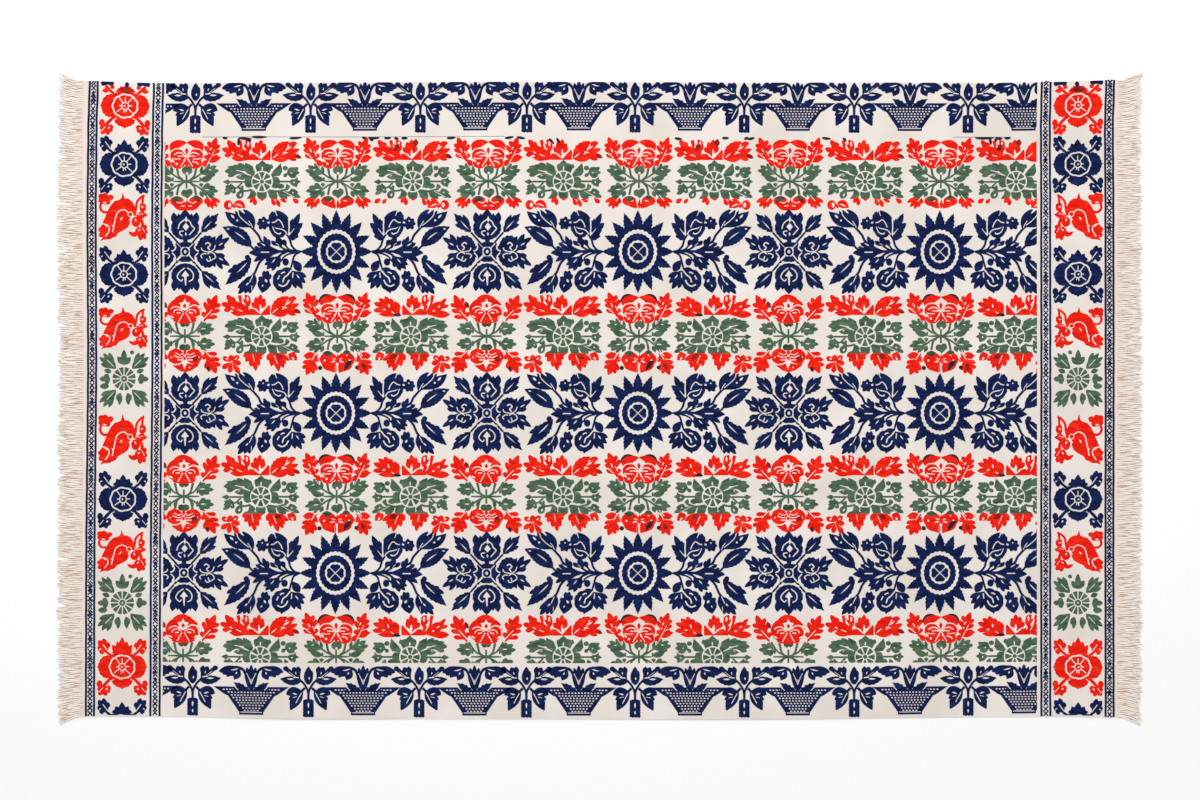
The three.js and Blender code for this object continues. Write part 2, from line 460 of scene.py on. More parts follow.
def spray():
    """A branch with two roses, a thistle, tulip leaves and buds that reaches out from a sunburst."""
    tone = "navy"
    slim = 0.72
    for line, wide, taper in (
        ((0, 10 + 3j, 18 + 12j, 21.5 + 24j, 29 + 37j), 3.6, 1.0),
        ((0, 30 + 0.5j, 62), 3.2, 1.6),
        ((6 + 0.5j, 22 + 4j, 29 + 11j, 33 + 18j), 2.6, 1.0),
        ((12 + 1j, 30 + 4j, 42 + 11j), 2.6, 1.2),
        ((42 + 1j, 52 + 4j, 64 + 10j), 3.2, 1.6),
        ((64 + 12j, 78 + 21j, 84 + 33j, 98 + 49j), 4.2, 1.0),
        ((84 + 1j, 94 + 6j, 102 + 15j), 4, 0.9),
        ((0, 12 - 7j, 17 - 22j, 21 - 38j), 3.4, 1.0),
        ((8 - 1j, 24 - 5j, 34 - 11j, 37 - 18j), 3, 0.8),
        ((28 - 1j, 38 - 5j, 46 - 12j), 3, 1.3),
        ((44 - 1j, 56 - 5j, 69 - 16j), 3.4, 1.4),
        ((68 - 8j, 82 - 22j, 90 - 40j, 98 - 50j), 4.6, 0.9),
    ):
        stem(tone, *line, wide=slim * wide, taper=taper)
    # the upper rose with its leaf and the small flower beside it
    leaf(tone, 22 + 33j, 2 + 76j, 11, fat=0.6, blunt=0.8)
    leaf(tone, 23 + 33j, -4 + 57j, 11, fat=0.66)
    leaf(tone, 21 + 36j, 16 + 66j, 8.5, fat=0.6)
    hand(tone, 23 + 32j, (1 + 43j, 4 + 30j, 11 + 24j), 9, fat=0.62)
    disc(tone, 13 + 36j, 7.5, 7, points=12)
    vein(24 + 32j, 18 + 38.5j, 12.5 + 46j, wide=1.8, taper=0.6)
    leaf(tone, 26 + 34j, 51 + 81.5j, 25, bend=0.15, fat=0.48, blunt=0.7)
    leaf(tone, 49 + 48j, 56 + 80j, 19, teeth=5, cut=0.12, bend=-0.08, fat=0.55, blunt=0.7)
    disc(tone, 43.5 + 42.5j, 15.5, 15, waves=10, depth=0.04)
    leaf(tone, 51 + 35j, 60 + 58j, 11, bend=-0.1)
    vein(34 + 48j, 37.5 + 57j, 44 + 63.5j, 50.5 + 59j, 57 + 57.5j, wide=2.2)
    vein(50 + 83j, 49 + 76j, 46.5 + 71j, wide=2, taper=0.7)
    vein(27 + 34j, 31 + 40.5j, 38 + 44.5j, 48 + 46.5j, 55 + 53j, wide=2.2)
    vein(39 + 37.5j, 43 + 35j, 51 + 39j, 56 + 50j, wide=3, taper=0.5)
    stem(tone, 47 + 49j, 58 + 54.5j, wide=2.6)
    vein(24.4 + 33j, 22.8 + 48j, 23.6 + 66j, wide=2, taper=1.6)
    star = 74 + 56j
    tips = [star + cmath.rect(13 + k % 2, math.radians(44 + 52 * k)) for k in range(7)]
    hand(tone, star, tips, 7, fat=0.64)
    disc(tone, star, 8.2, points=12)
    stem(tone, 60 + 54j, 67 + 54j, wide=3)
    hole(74 + 61j, 1.6, points=8)
    hole(64.2 + 57.5j, 2, points=8)
    # buds and oak leaves along the branch
    leaf(tone, 28 + 8j, 35.5 + 24j, 9, fat=0.66, blunt=0.8)
    leaf(tone, 38 + 8j, 49.5 + 29j, 12, bend=0.12, fat=0.55)
    leaf(tone, 42 + 10j, 58 + 22j, 7, bend=-0.14, fat=0.66)
    vein(44 + 14j, 49 + 17j, wide=1.2)
    disc(tone, 30 - 20.5j, 5.6, 6.6)
    leaf(tone, 40 - 8j, 60 - 33j, 18, fat=0.5)
    hand(tone, 46 - 15j, (44.5 - 31j, 57 - 38j, 68 - 34.5j, 72 - 26j, 70 - 17j), 7.5)
    hand(tone, 44 - 12j, (39.5 - 21j, 62 - 16j), 7)
    gap(50 - 14j, 58 - 23j, 2.4)
    # the thistle
    leaf(tone, 46, 103 - 3j, 17, fat=0.55)
    hand(tone, 62 + 5j, (64 + 25j, 73 + 31j), 7)
    leaf(tone, 60 + 2j, 82 + 19j, 13, fat=0.5)
    hand(tone, 64 + 1j, (87 + 17.5j, 92 + 9.5j, 93 - 20j, 101 - 1j), 7.5)
    leaf(tone, 58 - 1j, 84 - 11j, 10)
    vein(62.5 - 1j, 79 - 1j, wide=2.4)
    gap(69 + 11j, 80 + 17.5j, 2.4)
    vein(81 + 8.5j, 88 + 12.5j, wide=1.4)
    # the tulip and the long leaves
    leaf(tone, 94 + 43j, 113.5 + 84j, 20, bend=0.1, fat=0.5, blunt=0.8)
    leaf(tone, 98 + 49j, 123 + 83j, 12, bend=-0.02, blunt=0.8)
    leaf(tone, 119 + 64j, 130 + 82j, 6)
    leaf(tone, 98 + 48j, 150 + 80j, 20, bend=-0.12, fat=0.55)
    vein(95 + 47j, 98 + 54j, 103 + 61j, wide=1.6)
    vein(100 + 52j, 112 + 61j, 122 + 72j, 125 + 84j, wide=1.8)
    gap(110 + 75j, 121 + 86j, 3.6)
    hole(125.5 + 62j, 2.2, points=8)
    gap(131 + 66j, 138.5 + 74j, 4)
    leaf(tone, 98 + 10j, 155 + 49j, 29, teeth=8, cut=0.1, bend=0.13, fat=0.44, blunt=0.9)
    gap(109 + 23j, 132 + 40j, 2.8, bend=0.05)
    gap(141 + 45j, 147 + 45j, 3)
    leaf(tone, 98 - 12j, 150 - 66j, 26, teeth=8, cut=0.16, bend=-0.06, fat=0.45)
    disc(tone, 105.5 - 11.5j, 4.6, points=12)
    hand(tone, 118 - 28j, (136 - 31j, 145 - 41j), 8)
    gap(106 - 21j, 128 - 43j, 2.8, bend=-0.04)
    # the lower rose with its leaves
    leaf(tone, 0 - 39j, 14 - 17j, 15, blunt=0.9)
    vein(1 - 40.5j, 12 - 38.5j, 18 - 31j, wide=1.8)
    hand(tone, 19 - 38j, (-11 - 50j, -9 - 62j, -3 - 74j, 10 - 73j), 9.5)
    leaf(tone, 19 - 38j, -1 - 58j, 13)
    gap(9 - 45j, 2 - 54j, 2.6)
    disc(tone, 36 - 57j, 19.5, 22, waves=9, depth=0.05)
    disc(tone, 28 - 45j, 12.5, 13.5)
    leaf(tone, 34 - 70j, 36.5 - 83j, 8, fat=0.4)
    vein(18 - 36j, 26 - 46j, 33 - 51.5j, 36 - 61j, wide=2.8)
    vein(31 - 41j, 35 - 41j, 39 - 44j, wide=2.6)
    vein(23.5 - 56j, 28 - 64j, 36 - 68.5j, 44.5 - 65j, wide=2.8)
    vein(42 - 47j, 46 - 55j, wide=2.4)
    vein(15.5 - 41j, 16.5 - 52j, wide=2.2)
    # the two blossoms below
    leaf(tone, 68 - 39j, 77 - 82j, 24, fat=0.6)
    hand(tone, 71 - 60j, (59 - 45j, 65 - 37j, 73 - 37.5j, 84 - 50.5j, 60 - 69j), 8)
    gap(67 - 61j, 71 - 54j, 4.4)
    gap(74.5 - 65j, 77.5 - 70j, 2.6)
    leaf(tone, 92 - 44j, 96 - 77j, 15, bend=0.12, blunt=0.8)
    leaf(tone, 92 - 46j, 120 - 62j, 14, bend=-0.3, blunt=0.8)
    leaf(tone, 94 - 48j, 112 - 74j, 19)
    hand(tone, 101 - 56j, (101 - 83j, 111 - 83j, 124 - 84j, 125 - 72j), 8.5)
    vein(95 - 47j, 99 - 55j, 101.5 - 61j, wide=1.7)
    gap(103 - 61j, 109 - 67j, 3)
    vein(97 - 67j, 97.5 - 77j, wide=1.4)


def medallion():
    """Four roses set crosswise round a small star, with a leaf on a stem between each two."""
    tone = "navy"
    for x, y in ((1, 1), (-1, 1), (1, -1), (-1, -1)):
        root = complex(32 * x, 38 * y)
        stem(tone, complex(9 * x, 12 * y), root, wide=2.2)
        tip = complex((70 if y < 0 else 66) * x, 76 * y)
        leaf(tone, root, tip, 23, teeth=5, cut=0.3, fat=0.45)
        leaf(tone, complex(34 * x, 46 * y), complex(48.5 * x, 74 * y), 9, fat=0.5)
        leaf(tone, complex(44 * x, 48 * y), complex(64 * x, 54 * y), 8, fat=0.55)
        gap(root * 1.14, tip * 0.83, 2.6)
    for y in (1, -1):
        # the roses above and below
        disc(tone, 47.5j * y, 27.5, 24, waves=18, depth=0.04)
        leaf(tone, 40j * y, 84.5j * y, 21, fat=0.6)
        for x in (1, -1):
            leaf(tone, complex(19 * x, 48 * y), complex(23 * x, 78.5 * y), 12, fat=0.6)
            leaf(tone, complex(10 * x, 52 * y), complex(13 * x, 76 * y), 8, fat=0.6)
    stem(tone, 26j, 12j, wide=9, taper=0.9)
    hood = [-14 + 45j, -11 + 55j, -6 + 60j, 1 + 64j, 9 + 60j, 13 + 52j, 18.5 + 46j, 14 + 40j, 8 + 33j]
    vein(*hood, wide=2.4)
    vein(-5 + 31j, -10 + 35j, -10 + 40j, -3 + 41j, wide=2.4)
    gap(2 + 58j, 2 + 71j, 4.4)
    drawn.append(("cream", [1.5 + 57.5j, -5 + 49.5j, 1.5 + 41.5j, 8 + 49.5j]))
    gap(1 + 38.5j, 2 + 31j, 3.4)
    vein(-1 - 32j, -9 - 38j, -14 - 44j, -16 - 50j, -12 - 56j, -8 - 58j, -5 - 54j, wide=2.4)
    vein(4 - 32j, 12 - 38j, 16 - 46j, 14 - 55j, 7 - 59j, wide=2.4)
    drawn.append(("cream", [0 - 37j, -8 - 48j, -2.5 - 50j, -0.5 - 67j, 1.5 - 67j, 2.5 - 49j, 8 - 48j]))
    for x in (1, -1):
        # the roses to the left and right
        disc(tone, 44 * x, 23, 32, waves=16, depth=0.06)
        for y in (1, -1):
            root = complex(54 * x, 5 * y)
            leaf(tone, root, complex(82 * x, 25 * y), 17, fat=0.5)
            hand(tone, root, (complex(88 * x, 28 * y), complex(74 * x, 35 * y), complex(79 * x, 9 * y)), 8.5)
            leaf(tone, complex(50 * x, 14 * y), complex(60 * x, 31 * y), 9)
            gap(complex(66 * x, 12 * y), complex(76 * x, 18 * y), 2.6)
        gap(72 * x, 57 * x, 6, fat=0.4)
        vein(32 * x + 8j, 34 * x + 3j, 42 * x, 50 * x, wide=2.2)
        vein(40 * x + 15j, 45 * x + 18j, 50 * x + 13j, 45 * x + 8j, 49 * x + 3j, wide=2.6)
        vein(60 * x + 13j, 57 * x + 5j, 50 * x, wide=2)
        vein(34 * x - 13j, 31 * x - 8j, 36 * x - 4j, 42 * x - 4j, wide=2.2)
        curl = [50 * x - 1j, 57 * x - 4j, 60 * x - 11j, 55 * x - 15j, 46 * x - 19j]
        vein(44 * x - 5j, *curl, 42 * x - 14j, wide=2.2)
        vein(48 * x - 9j, 50 * x - 16j, wide=2.2)
        # the petals of the star at the middle
        leaf(tone, 3 * x, 31 * x, 25, fat=0.5, blunt=0.9)
        hand(tone, 8 * x, (17 * x + 19j, 17 * x - 19j), 10)
        vein(25 * x + 19j, 19 * x + 10j, 21 * x + 4j, 27 * x + 1j, wide=2.8)
        vein(26 * x - 2j, 20 * x - 9j, 20 * x - 18j, wide=2.6)
    for y in (1, -1):
        leaf(tone, 3j * y, 22j * y, 30, fat=0.6, blunt=0.8)
    vein(5 + 5j, 16 + 16j, wide=2)
    vein(-8 + 8j, -17 + 17j, wide=1.2)
    vein(8 - 7j, 18 - 19j, wide=2.6)
    vein(-8 - 8j, -17 - 17j, wide=4)
    vein(-20 - 25j, -12 - 23j, 0 - 21j, 12 - 23j, 21 - 26j, wide=2)
    vein(-12 + 19j, -4 + 22j, wide=4)
    vein(5 + 21j, 14 + 20j, wide=4)
    hole(0, 11, 11, waves=4, depth=0.2)
    disc(tone, 0, 6.6, 7.4, points=16)
    hole(0, 2.8, 3.6, points=10)


NAVY_ROWS = ((294.2, 1.0), (-26, 0.97), (-343, 0.98))
COLUMN = 149.7
FIRST_COLUMN = -823
sun = figure(sunburst)
roses = figure(medallion)
branch = figure(spray)
field_left = ((-864.2, 0, 0), (-1, 0.0041, 0))
field_right = ((866.4, 0, 0), (1, 0, 0))
for row_y, beaten in NAVY_ROWS:
    for column in (2, 6, 10):
        weave(sun, FIRST_COLUMN + COLUMN * column, row_y, tall=beaten)
        for side in (1, -1):
            weave(branch, FIRST_COLUMN + COLUMN * column + 70.5 * side, row_y, side, beaten, [field_right])
    for column in (0, 4, 8):
        weave(roses, FIRST_COLUMN + COLUMN * column, row_y, 1, beaten, [field_left])
navy_wool = fulled_wool("indigo_wool", NAVY, NAVY_DEEP, NAVY_PALE)
lay_wool("navy", "navy_field_figures", navy_wool)

# ---------------------------------------------------------------------------------------------
# The red and green blocks: roses over a green cross, and green wheels under red leaves, in
# alternate columns. The weft changes from red to green and back along straight lines, and
# where two wefts lie in the same row the petal turns dark.

RED = "#e41b08"
RED_DEEP = "#d01303"
RED_PALE = "#ee3119"
GREEN = "#48614d"
GREEN_DEEP = "#344d3a"
GREEN_PALE = "#5c745b"
DUSK = "#241f2c"
DUSK_DEEP = "#17141c"
DUSK_PALE = "#3b3440"
OLIVE = "#3f4a38"
OLIVE_DEEP = "#2e3629"
OLIVE_PALE = "#56604a"
WINE = "#8e1c17"
WINE_DEEP = "#5c100f"
WINE_PALE = "#b52a22"


def feather(tone, root, tip, wide, lobes=3, bend=0.0, stout=8.0, shy=0):
    """A feathered leaf: a slim blade with pairs of stout lobes that lean forwards from its midrib.
    On the shy side the lowest lobe is held back, to stay clear of a rose."""
    at = bowed(root, tip, bend)
    leaf(tone, root, tip, wide * 0.4, bend=bend, fat=0.6, blunt=0.6)
    for k in range(lobes):
        start, heading = at(0.1 + 0.56 * k / lobes)
        reach = wide * (0.74 - 0.2 * abs(k - 0.6) / lobes)
        for side in (1, -1):
            length = reach * (0.62 if side == shy and k == 0 else 1)
            way = heading * cmath.rect(length, side * math.radians(48 - 5 * k))
            leaf(tone, start, start + way, stout, bend=-0.1 * side, fat=0.72, blunt=0.6)


def petal(tone, centre, near, far, angle, wide):
    """A petal or leaf that hugs a ring, with its round back away from the middle."""
    steps = [i / 5 - 1 for i in range(11)]
    inner = [centre + cmath.rect(near, math.radians(angle + t * wide / 2)) for t in steps]
    back = [(far - near) * (1 - abs(t) ** 3.2) ** 0.6 + near for t in steps]
    outer = [centre + cmath.rect(r, math.radians(angle + t * wide / 2)) for t, r in zip(steps, back)]
    drawn.append((tone, inner + outer[-2:0:-1]))


def cross(full=False, oval=False):
    """A red rose with leaves over a green cross of stems, each arm with its own leaf. The rose
    below is half hidden, or a small oval one, or whole if full: then dark brows edge the upper one."""
    tone = "red|green|red"
    for x, y in ((1, 1), (-1, 1), (1, -1), (-1, -1)):
        stem(tone, 0, 9 * x + 3.5j * y, 21 * x + 9.5j * y, 34 * x + 20j * y, 42 * x + 32j * y, wide=1.8)
        stem(tone, 8 * x + 4j * y, 15.5 * x + 11j * y, 19 * x + 27j * y, wide=1.7, taper=1.4)
        stem(tone, 0, 25 * x, wide=2.6, taper=0.6)
    stem(tone, 13j, -14j, wide=2)
    # the leaves and buds of the cross
    tone = "green|green|red"
    for x in (1, -1):
        leaf(tone, 28 * x + 14j, 31 * x + 32j, 5)
        hand(tone, 29 * x + 14j, (46 * x + 35j, 59 * x + 31j, 64 * x + 22j, 57 * x + 13j), 7.6, fat=0.72)
        gap(43 * x + 24j, 50 * x + 22j, 2.2)
        vein(34 * x + 23j, 42 * x + 34j, wide=1.3)
        leaf(tone, 26 * x + 3j, 51 * x + 9j, 10.5, bend=-0.1 * x, fat=0.5, blunt=0.8)
        stem(tone, 27 * x + 8j, 27 * x + 0j, wide=1.6)
        tips = (29 * x - 3j, 46 * x - 5j, 57 * x - 12j, 63 * x - 20j, 56 * x - 28j)
        hand(tone, 29 * x - 13j, tips, 7.2, fat=0.72)
        gap(35 * x - 16j, 47 * x - 17j, 2.6)
        leaf(tone, 31 * x - 16j, 47 * x - 34j, 7)
        leaf(tone, 27 * x - 19j, 33 * x - 32j, 7)
        if full:
            feather("red", 39 * x - 33j, 61 * x - 77j, 33, bend=0.05 * x, stout=7, shy=-x)
            leaf("red", 44 * x - 36j, 68 * x - 40j, 9, bend=0.1 * x)
            vein(40 * x - 32j, 46 * x - 40j, 50 * x - 47j, wide=2)
            vein(35 * x - 37j, 38 * x - 48j, wide=1.4)
            disc("red", 17.5 * x - 46j, 16.5, 13.5)
            leaf("red", 33 * x - 44j, 3 * x - 73j, 25, bend=-0.16 * x, fat=0.45)
            gap(3 * x - 49j, 14 * x - 52j, 3.4)
            hole(25 * x - 48j, 2.2, points=8)
            hole(19 * x - 38j, 1.6, points=8)
            vein(2 * x - 46j, 10 * x - 44j, wide=1.8)
        else:
            leaf(tone, 36 * x - 24j, 58 * x - 38j, 9)
            tips = (37 * x - 45j, 44 * x - 52j, 52.5 * x - 55j, 61 * x - 51j, 67 * x - 42j)
            hand(tone, 42 * x - 28j, tips, 6.4)
            disc("red", 19 * x - 39j, 13, 9)
            if oval:
                leaf("red", 31 * x - 40j, -3 * x - 57j, 20, bend=-0.12 * x, fat=0.5, blunt=0.9)
                vein(3 * x - 38j, 12 * x - 43j, 20 * x - 40j, wide=1.8)
                leaf("wine", 18 * x - 32j, 28 * x - 42j, 7)
                vein(2 * x - 48j, 11 * x - 49j, wide=2)
            else:
                leaf("red", 29 * x - 34j, 4 * x - 54j, 15, bend=-0.14 * x, fat=0.5, blunt=0.8)
                gap(10 * x - 38j, 20 * x - 40j, 2.3)
    vein(40 - 27j, 50 - 39j, wide=1.8)
    vein(-36 - 28j, -46 - 40j, wide=1.8)
    leaf("red", 1 - 34j, 0.5 - 55j, 5, fat=0.6)
    disc("green", 1 + 22j, 9.5, 8, points=20)
    hole(1 + 16j, 2.8, points=10)
    disc("green", -3.5 - 23j, 6.5, 6, points=14)
    disc("green", 6 - 21j, 5.5, 6, points=14)
    leaf("green", 1 - 20j, 1.5 - 34j, 15, fat=0.35)
    leaf("olive", -29 - 33j, -9 - 33j, 10, bend=-0.16, fat=0.5)
    leaf("olive", 11 - 33j, 27 - 33j, 7, bend=0.16, fat=0.5)
    # the rose: two upper petals, two wings and two lower petals round a drop
    tone = "red"
    for x in (1, -1):
        if full:
            leaf("dusk", 4 * x + 77j, 36 * x + 66j, 15, bend=0.3 * x, fat=0.6, blunt=0.8)
        leaf(tone, 77j, 34 * x + (64j if full else 67j), 15, bend=0.14 * x, fat=0.6, blunt=0.5)
        leaf(tone, 20 * x + 72j, 33 * x + 61j, 10, blunt=0.8)
        disc(tone, 17.5 * x + 51j, 14.5, 12.5, waves=8, depth=0.04)
        disc(tone, 17 * x + 36j, 13, 10, waves=7, depth=0.04)
        leaf(tone, 13 * x + 34j, 13 * x + 25j, 12, fat=0.35)
        leaf(tone, 43 * x + 44j, 31 * x + 30j, 9, fat=0.55)
    drawn.append(("cream", [1 + 76j, -10 + 68j, -8 + 60j, 1 + 49j, 9 + 60j, 12 + 69j]))
    for x in (1, -1):
        vein(8 * x + 63j, 16 * x + 65.5j, 26 * x + 63.5j, 32 * x + 59j, wide=2.6, taper=0.7)
        vein(3 * x + 50j, 9 * x + 56j, 17 * x + 57j, 25 * x + 53j, wide=2.4)
        vein(3 * x + 49j, 10 * x + 50.5j, 18 * x + 50j, wide=2.2)
        vein(12 * x + 45j, 20 * x + 44.5j, 29 * x + 46j, wide=2)
        vein(2 * x + 47j, 7 * x + 37j, 12 * x + 29j, wide=2)
    vein(11 + 40j, 19 + 38j, 23 + 34j, wide=2.4)
    hole(-20 + 35j, 2.4, points=10)
    gap(-29 + 44j, -24 + 37j, 4)
    leaf(tone, 52j, 67j, 5, fat=0.6)
    leaf(tone, 50j, 27j, 6, fat=0.6)
    # the leaves to both sides of the rose
    feather(tone, -43 + 37j, -61 + 87j, 33, bend=-0.04, stout=7.2, shy=-1)
    gap(-56 + 66j, -51 + 56j, 2.6)
    vein(-62 + 55j, -50 + 46j, wide=1.6)
    vein(-47 + 60j, -42 + 50j, wide=1.6)
    feather(tone, 42 + 35j, 59 + 87j, 32, bend=0.04, stout=7, shy=1)
    leaf(tone, 43 + 38j, 69 + 48j, 11, bend=0.1)
    vein(41 + 34j, 49 + 49j, 55 + 62j, wide=1.6)
    gap(46 + 62j, 50 + 68j, 3)
    hole(45 + 56j, 1.6, points=8)
    if full:
        leaf("dusk", 30 - 48j, 14 - 69j, 8, bend=-0.16)
        disc("dusk", -34 - 63j, 3.6, points=10)
        disc("dusk", 39 - 62j, 3, points=10)
        leaf("wine", 50 - 54j, 56 - 68j, 7)
        vein(-2 - 58j, -2 - 73j, wide=4.6)
        stem(tone, -2.5 - 58j, -2.5 - 71j, wide=0.6)


def wedges(tone, centre, inner, outer, angles, wide):
    """The blunt wedges between the spokes of a wheel, wide by so many degrees."""
    for angle in angles:
        near = cmath.rect(inner, math.radians(angle))
        foot = cmath.rect(1, math.radians(wide / 3))
        back = [cmath.rect(outer / inner, math.radians(wide * k / 4)) for k in (-2, -1, 0, 1, 2)]
        drawn.append((tone, [centre + near * turn for turn in (foot.conjugate(), *back, foot)]))


def dome():
    """A domed red rose between feathered leaves over a small green cross, and an oval rose below."""
    tone = "red|green|red"
    stem(tone, 14j, -14j, wide=2)
    for x in (1, -1):
        stem(tone, 0, 30 * x, wide=2.6, taper=0.6)
        stem("green", 26.5 * x + 17j, 27 * x + 6j, wide=1.7)
        stem("green", 27 * x - 9j, 26.5 * x - 20j, wide=1.7)
        for y in (1, -1):
            way = 34 * x + 29j if y > 0 else 42 * x - 29j
            stem(tone, 0, 10 * x + 4j * y, 22 * x + 11j * y, way, wide=1.8)
            stem(tone, 9 * x + 4j * y, 14 * x + 10j * y, 18 * x + 27j * y, wide=1.7, taper=1.5)
        tips = (42 * x + 27j, 54 * x + 24j, 59 * x + 14j, 51 * x + 6j, 40 * x + 3j)
        hand("green", 26 * x + 12j, tips, 7.4, fat=0.72)
        gap(32 * x + 15j, 43 * x + 15j, 2.8)
        tips = (43 * x - 4j, 54 * x - 8j, 60 * x - 16j, 52 * x - 23j, 40 * x - 27j)
        hand("green", 26 * x - 15j, tips, 7.4, fat=0.72)
        gap(33 * x - 15j, 44 * x - 15j, 2.8)
        leaf("green", 16 * x - 9j, 18 * x - 23j, 5)
    disc("olive", 25j, 9, 6.5, points=18)
    disc("olive", -4.5 - 22j, 6, 5.5, points=14)
    disc("olive", 4.5 - 22j, 6, 5.5, points=14)
    hole(1 + 17.5j, 2.6, points=10)
    # the domed rose, with a star for its eye
    tone = "red"
    disc(tone, -1 + 52j, 33, 25, points=36)
    leaf(tone, -20 + 74j, 18 + 75j, 10, bend=0.14)
    disc(tone, 31j, 22, 5)
    star = [75j, -3 + 68j, -11 + 66j, -8 + 60j, -10 + 54j, -2 + 51j]
    drawn.append(("cream", star + [2 + 51j, 9 + 55j, 8 + 60j, 11 + 66j, 3 + 68j]))
    vein(-6 + 54j, -14 + 58.5j, -22 + 58j, -28 + 54j, wide=2.2)
    vein(6 + 55j, 15 + 61j, 25 + 60j, 31 + 52j, 32 + 40j, wide=2.8)
    vein(-35 + 60j, -38 + 47j, -34 + 36j, wide=1.8)
    gap(28 + 62j, 33 + 56j, 5)
    leaf(tone, 56j, 65j, 5)
    for x in (1, -1):
        vein(3 * x + 49j, 12 * x + 53j, 20 * x + 51j, 22 * x + 46j, wide=2)
        vein(8 * x + 47j, 16 * x + 46j, wide=2.4)
        vein(2 * x + 47j, 7 * x + 38j, 12 * x + 29j, wide=2)
        gap(30 * x + 41j, 21 * x + 36j, 3.6)
        # the feathered leaves at its sides
        feather(tone, 37 * x + 28j, 64 * x + 82j, 36, 3, -0.03 * x, 7.4, x)
        vein(54 * x + 52j, 37 * x + 34j, wide=1.8)
        # the leaves at the sides of the rose below
        feather(tone, 37 * x - 27j, 62 * x - 74j, 35, 3, 0.06 * x, 7.2, -x)
        vein(53 * x - 43j, 38 * x - 28j, wide=1.8)
        disc(tone, 18 * x - 40j, 15.5, 14.5, waves=9, depth=0.04)
        vein(2 * x - 34j, 10 * x - 37j, 19 * x - 33j, wide=1.8)
        vein(4 * x - 41j, 12 * x - 42j, 22 * x - 38j, wide=2)
        vein(5 * x - 47j, 15 * x - 47j, wide=2.6)
        hole(27 * x - 42j, 1.7, points=8)
    leaf("wine", -42 + 69j, -35 + 55j, 6)
    leaf("wine", 26 - 40j, 17 - 51j, 10)
    leaf("dusk", 45 - 60j, 48 - 69j, 6)
    # the lower petal of the rose, under the rays of its star
    below = [-25 - 58j, -12 - 57j, -6 - 53.5j, -3 - 60j, -1 - 67j, 1 - 60j, 5 - 53.5j, 16 - 56j, 30 - 50j]
    drawn.append((tone, below + [25 - 60j, 13 - 68j, 0 - 72j, -12 - 68j]))
    hole(-0.5 - 47j, 5.5, 6, waves=4, depth=0.3)
    disc(tone, -0.5 - 44j, 2, 2.6, points=10)
    leaf(tone, 0 - 26j, 0 - 38j, 5)
    hole(9 - 62j, 1.5, points=8)


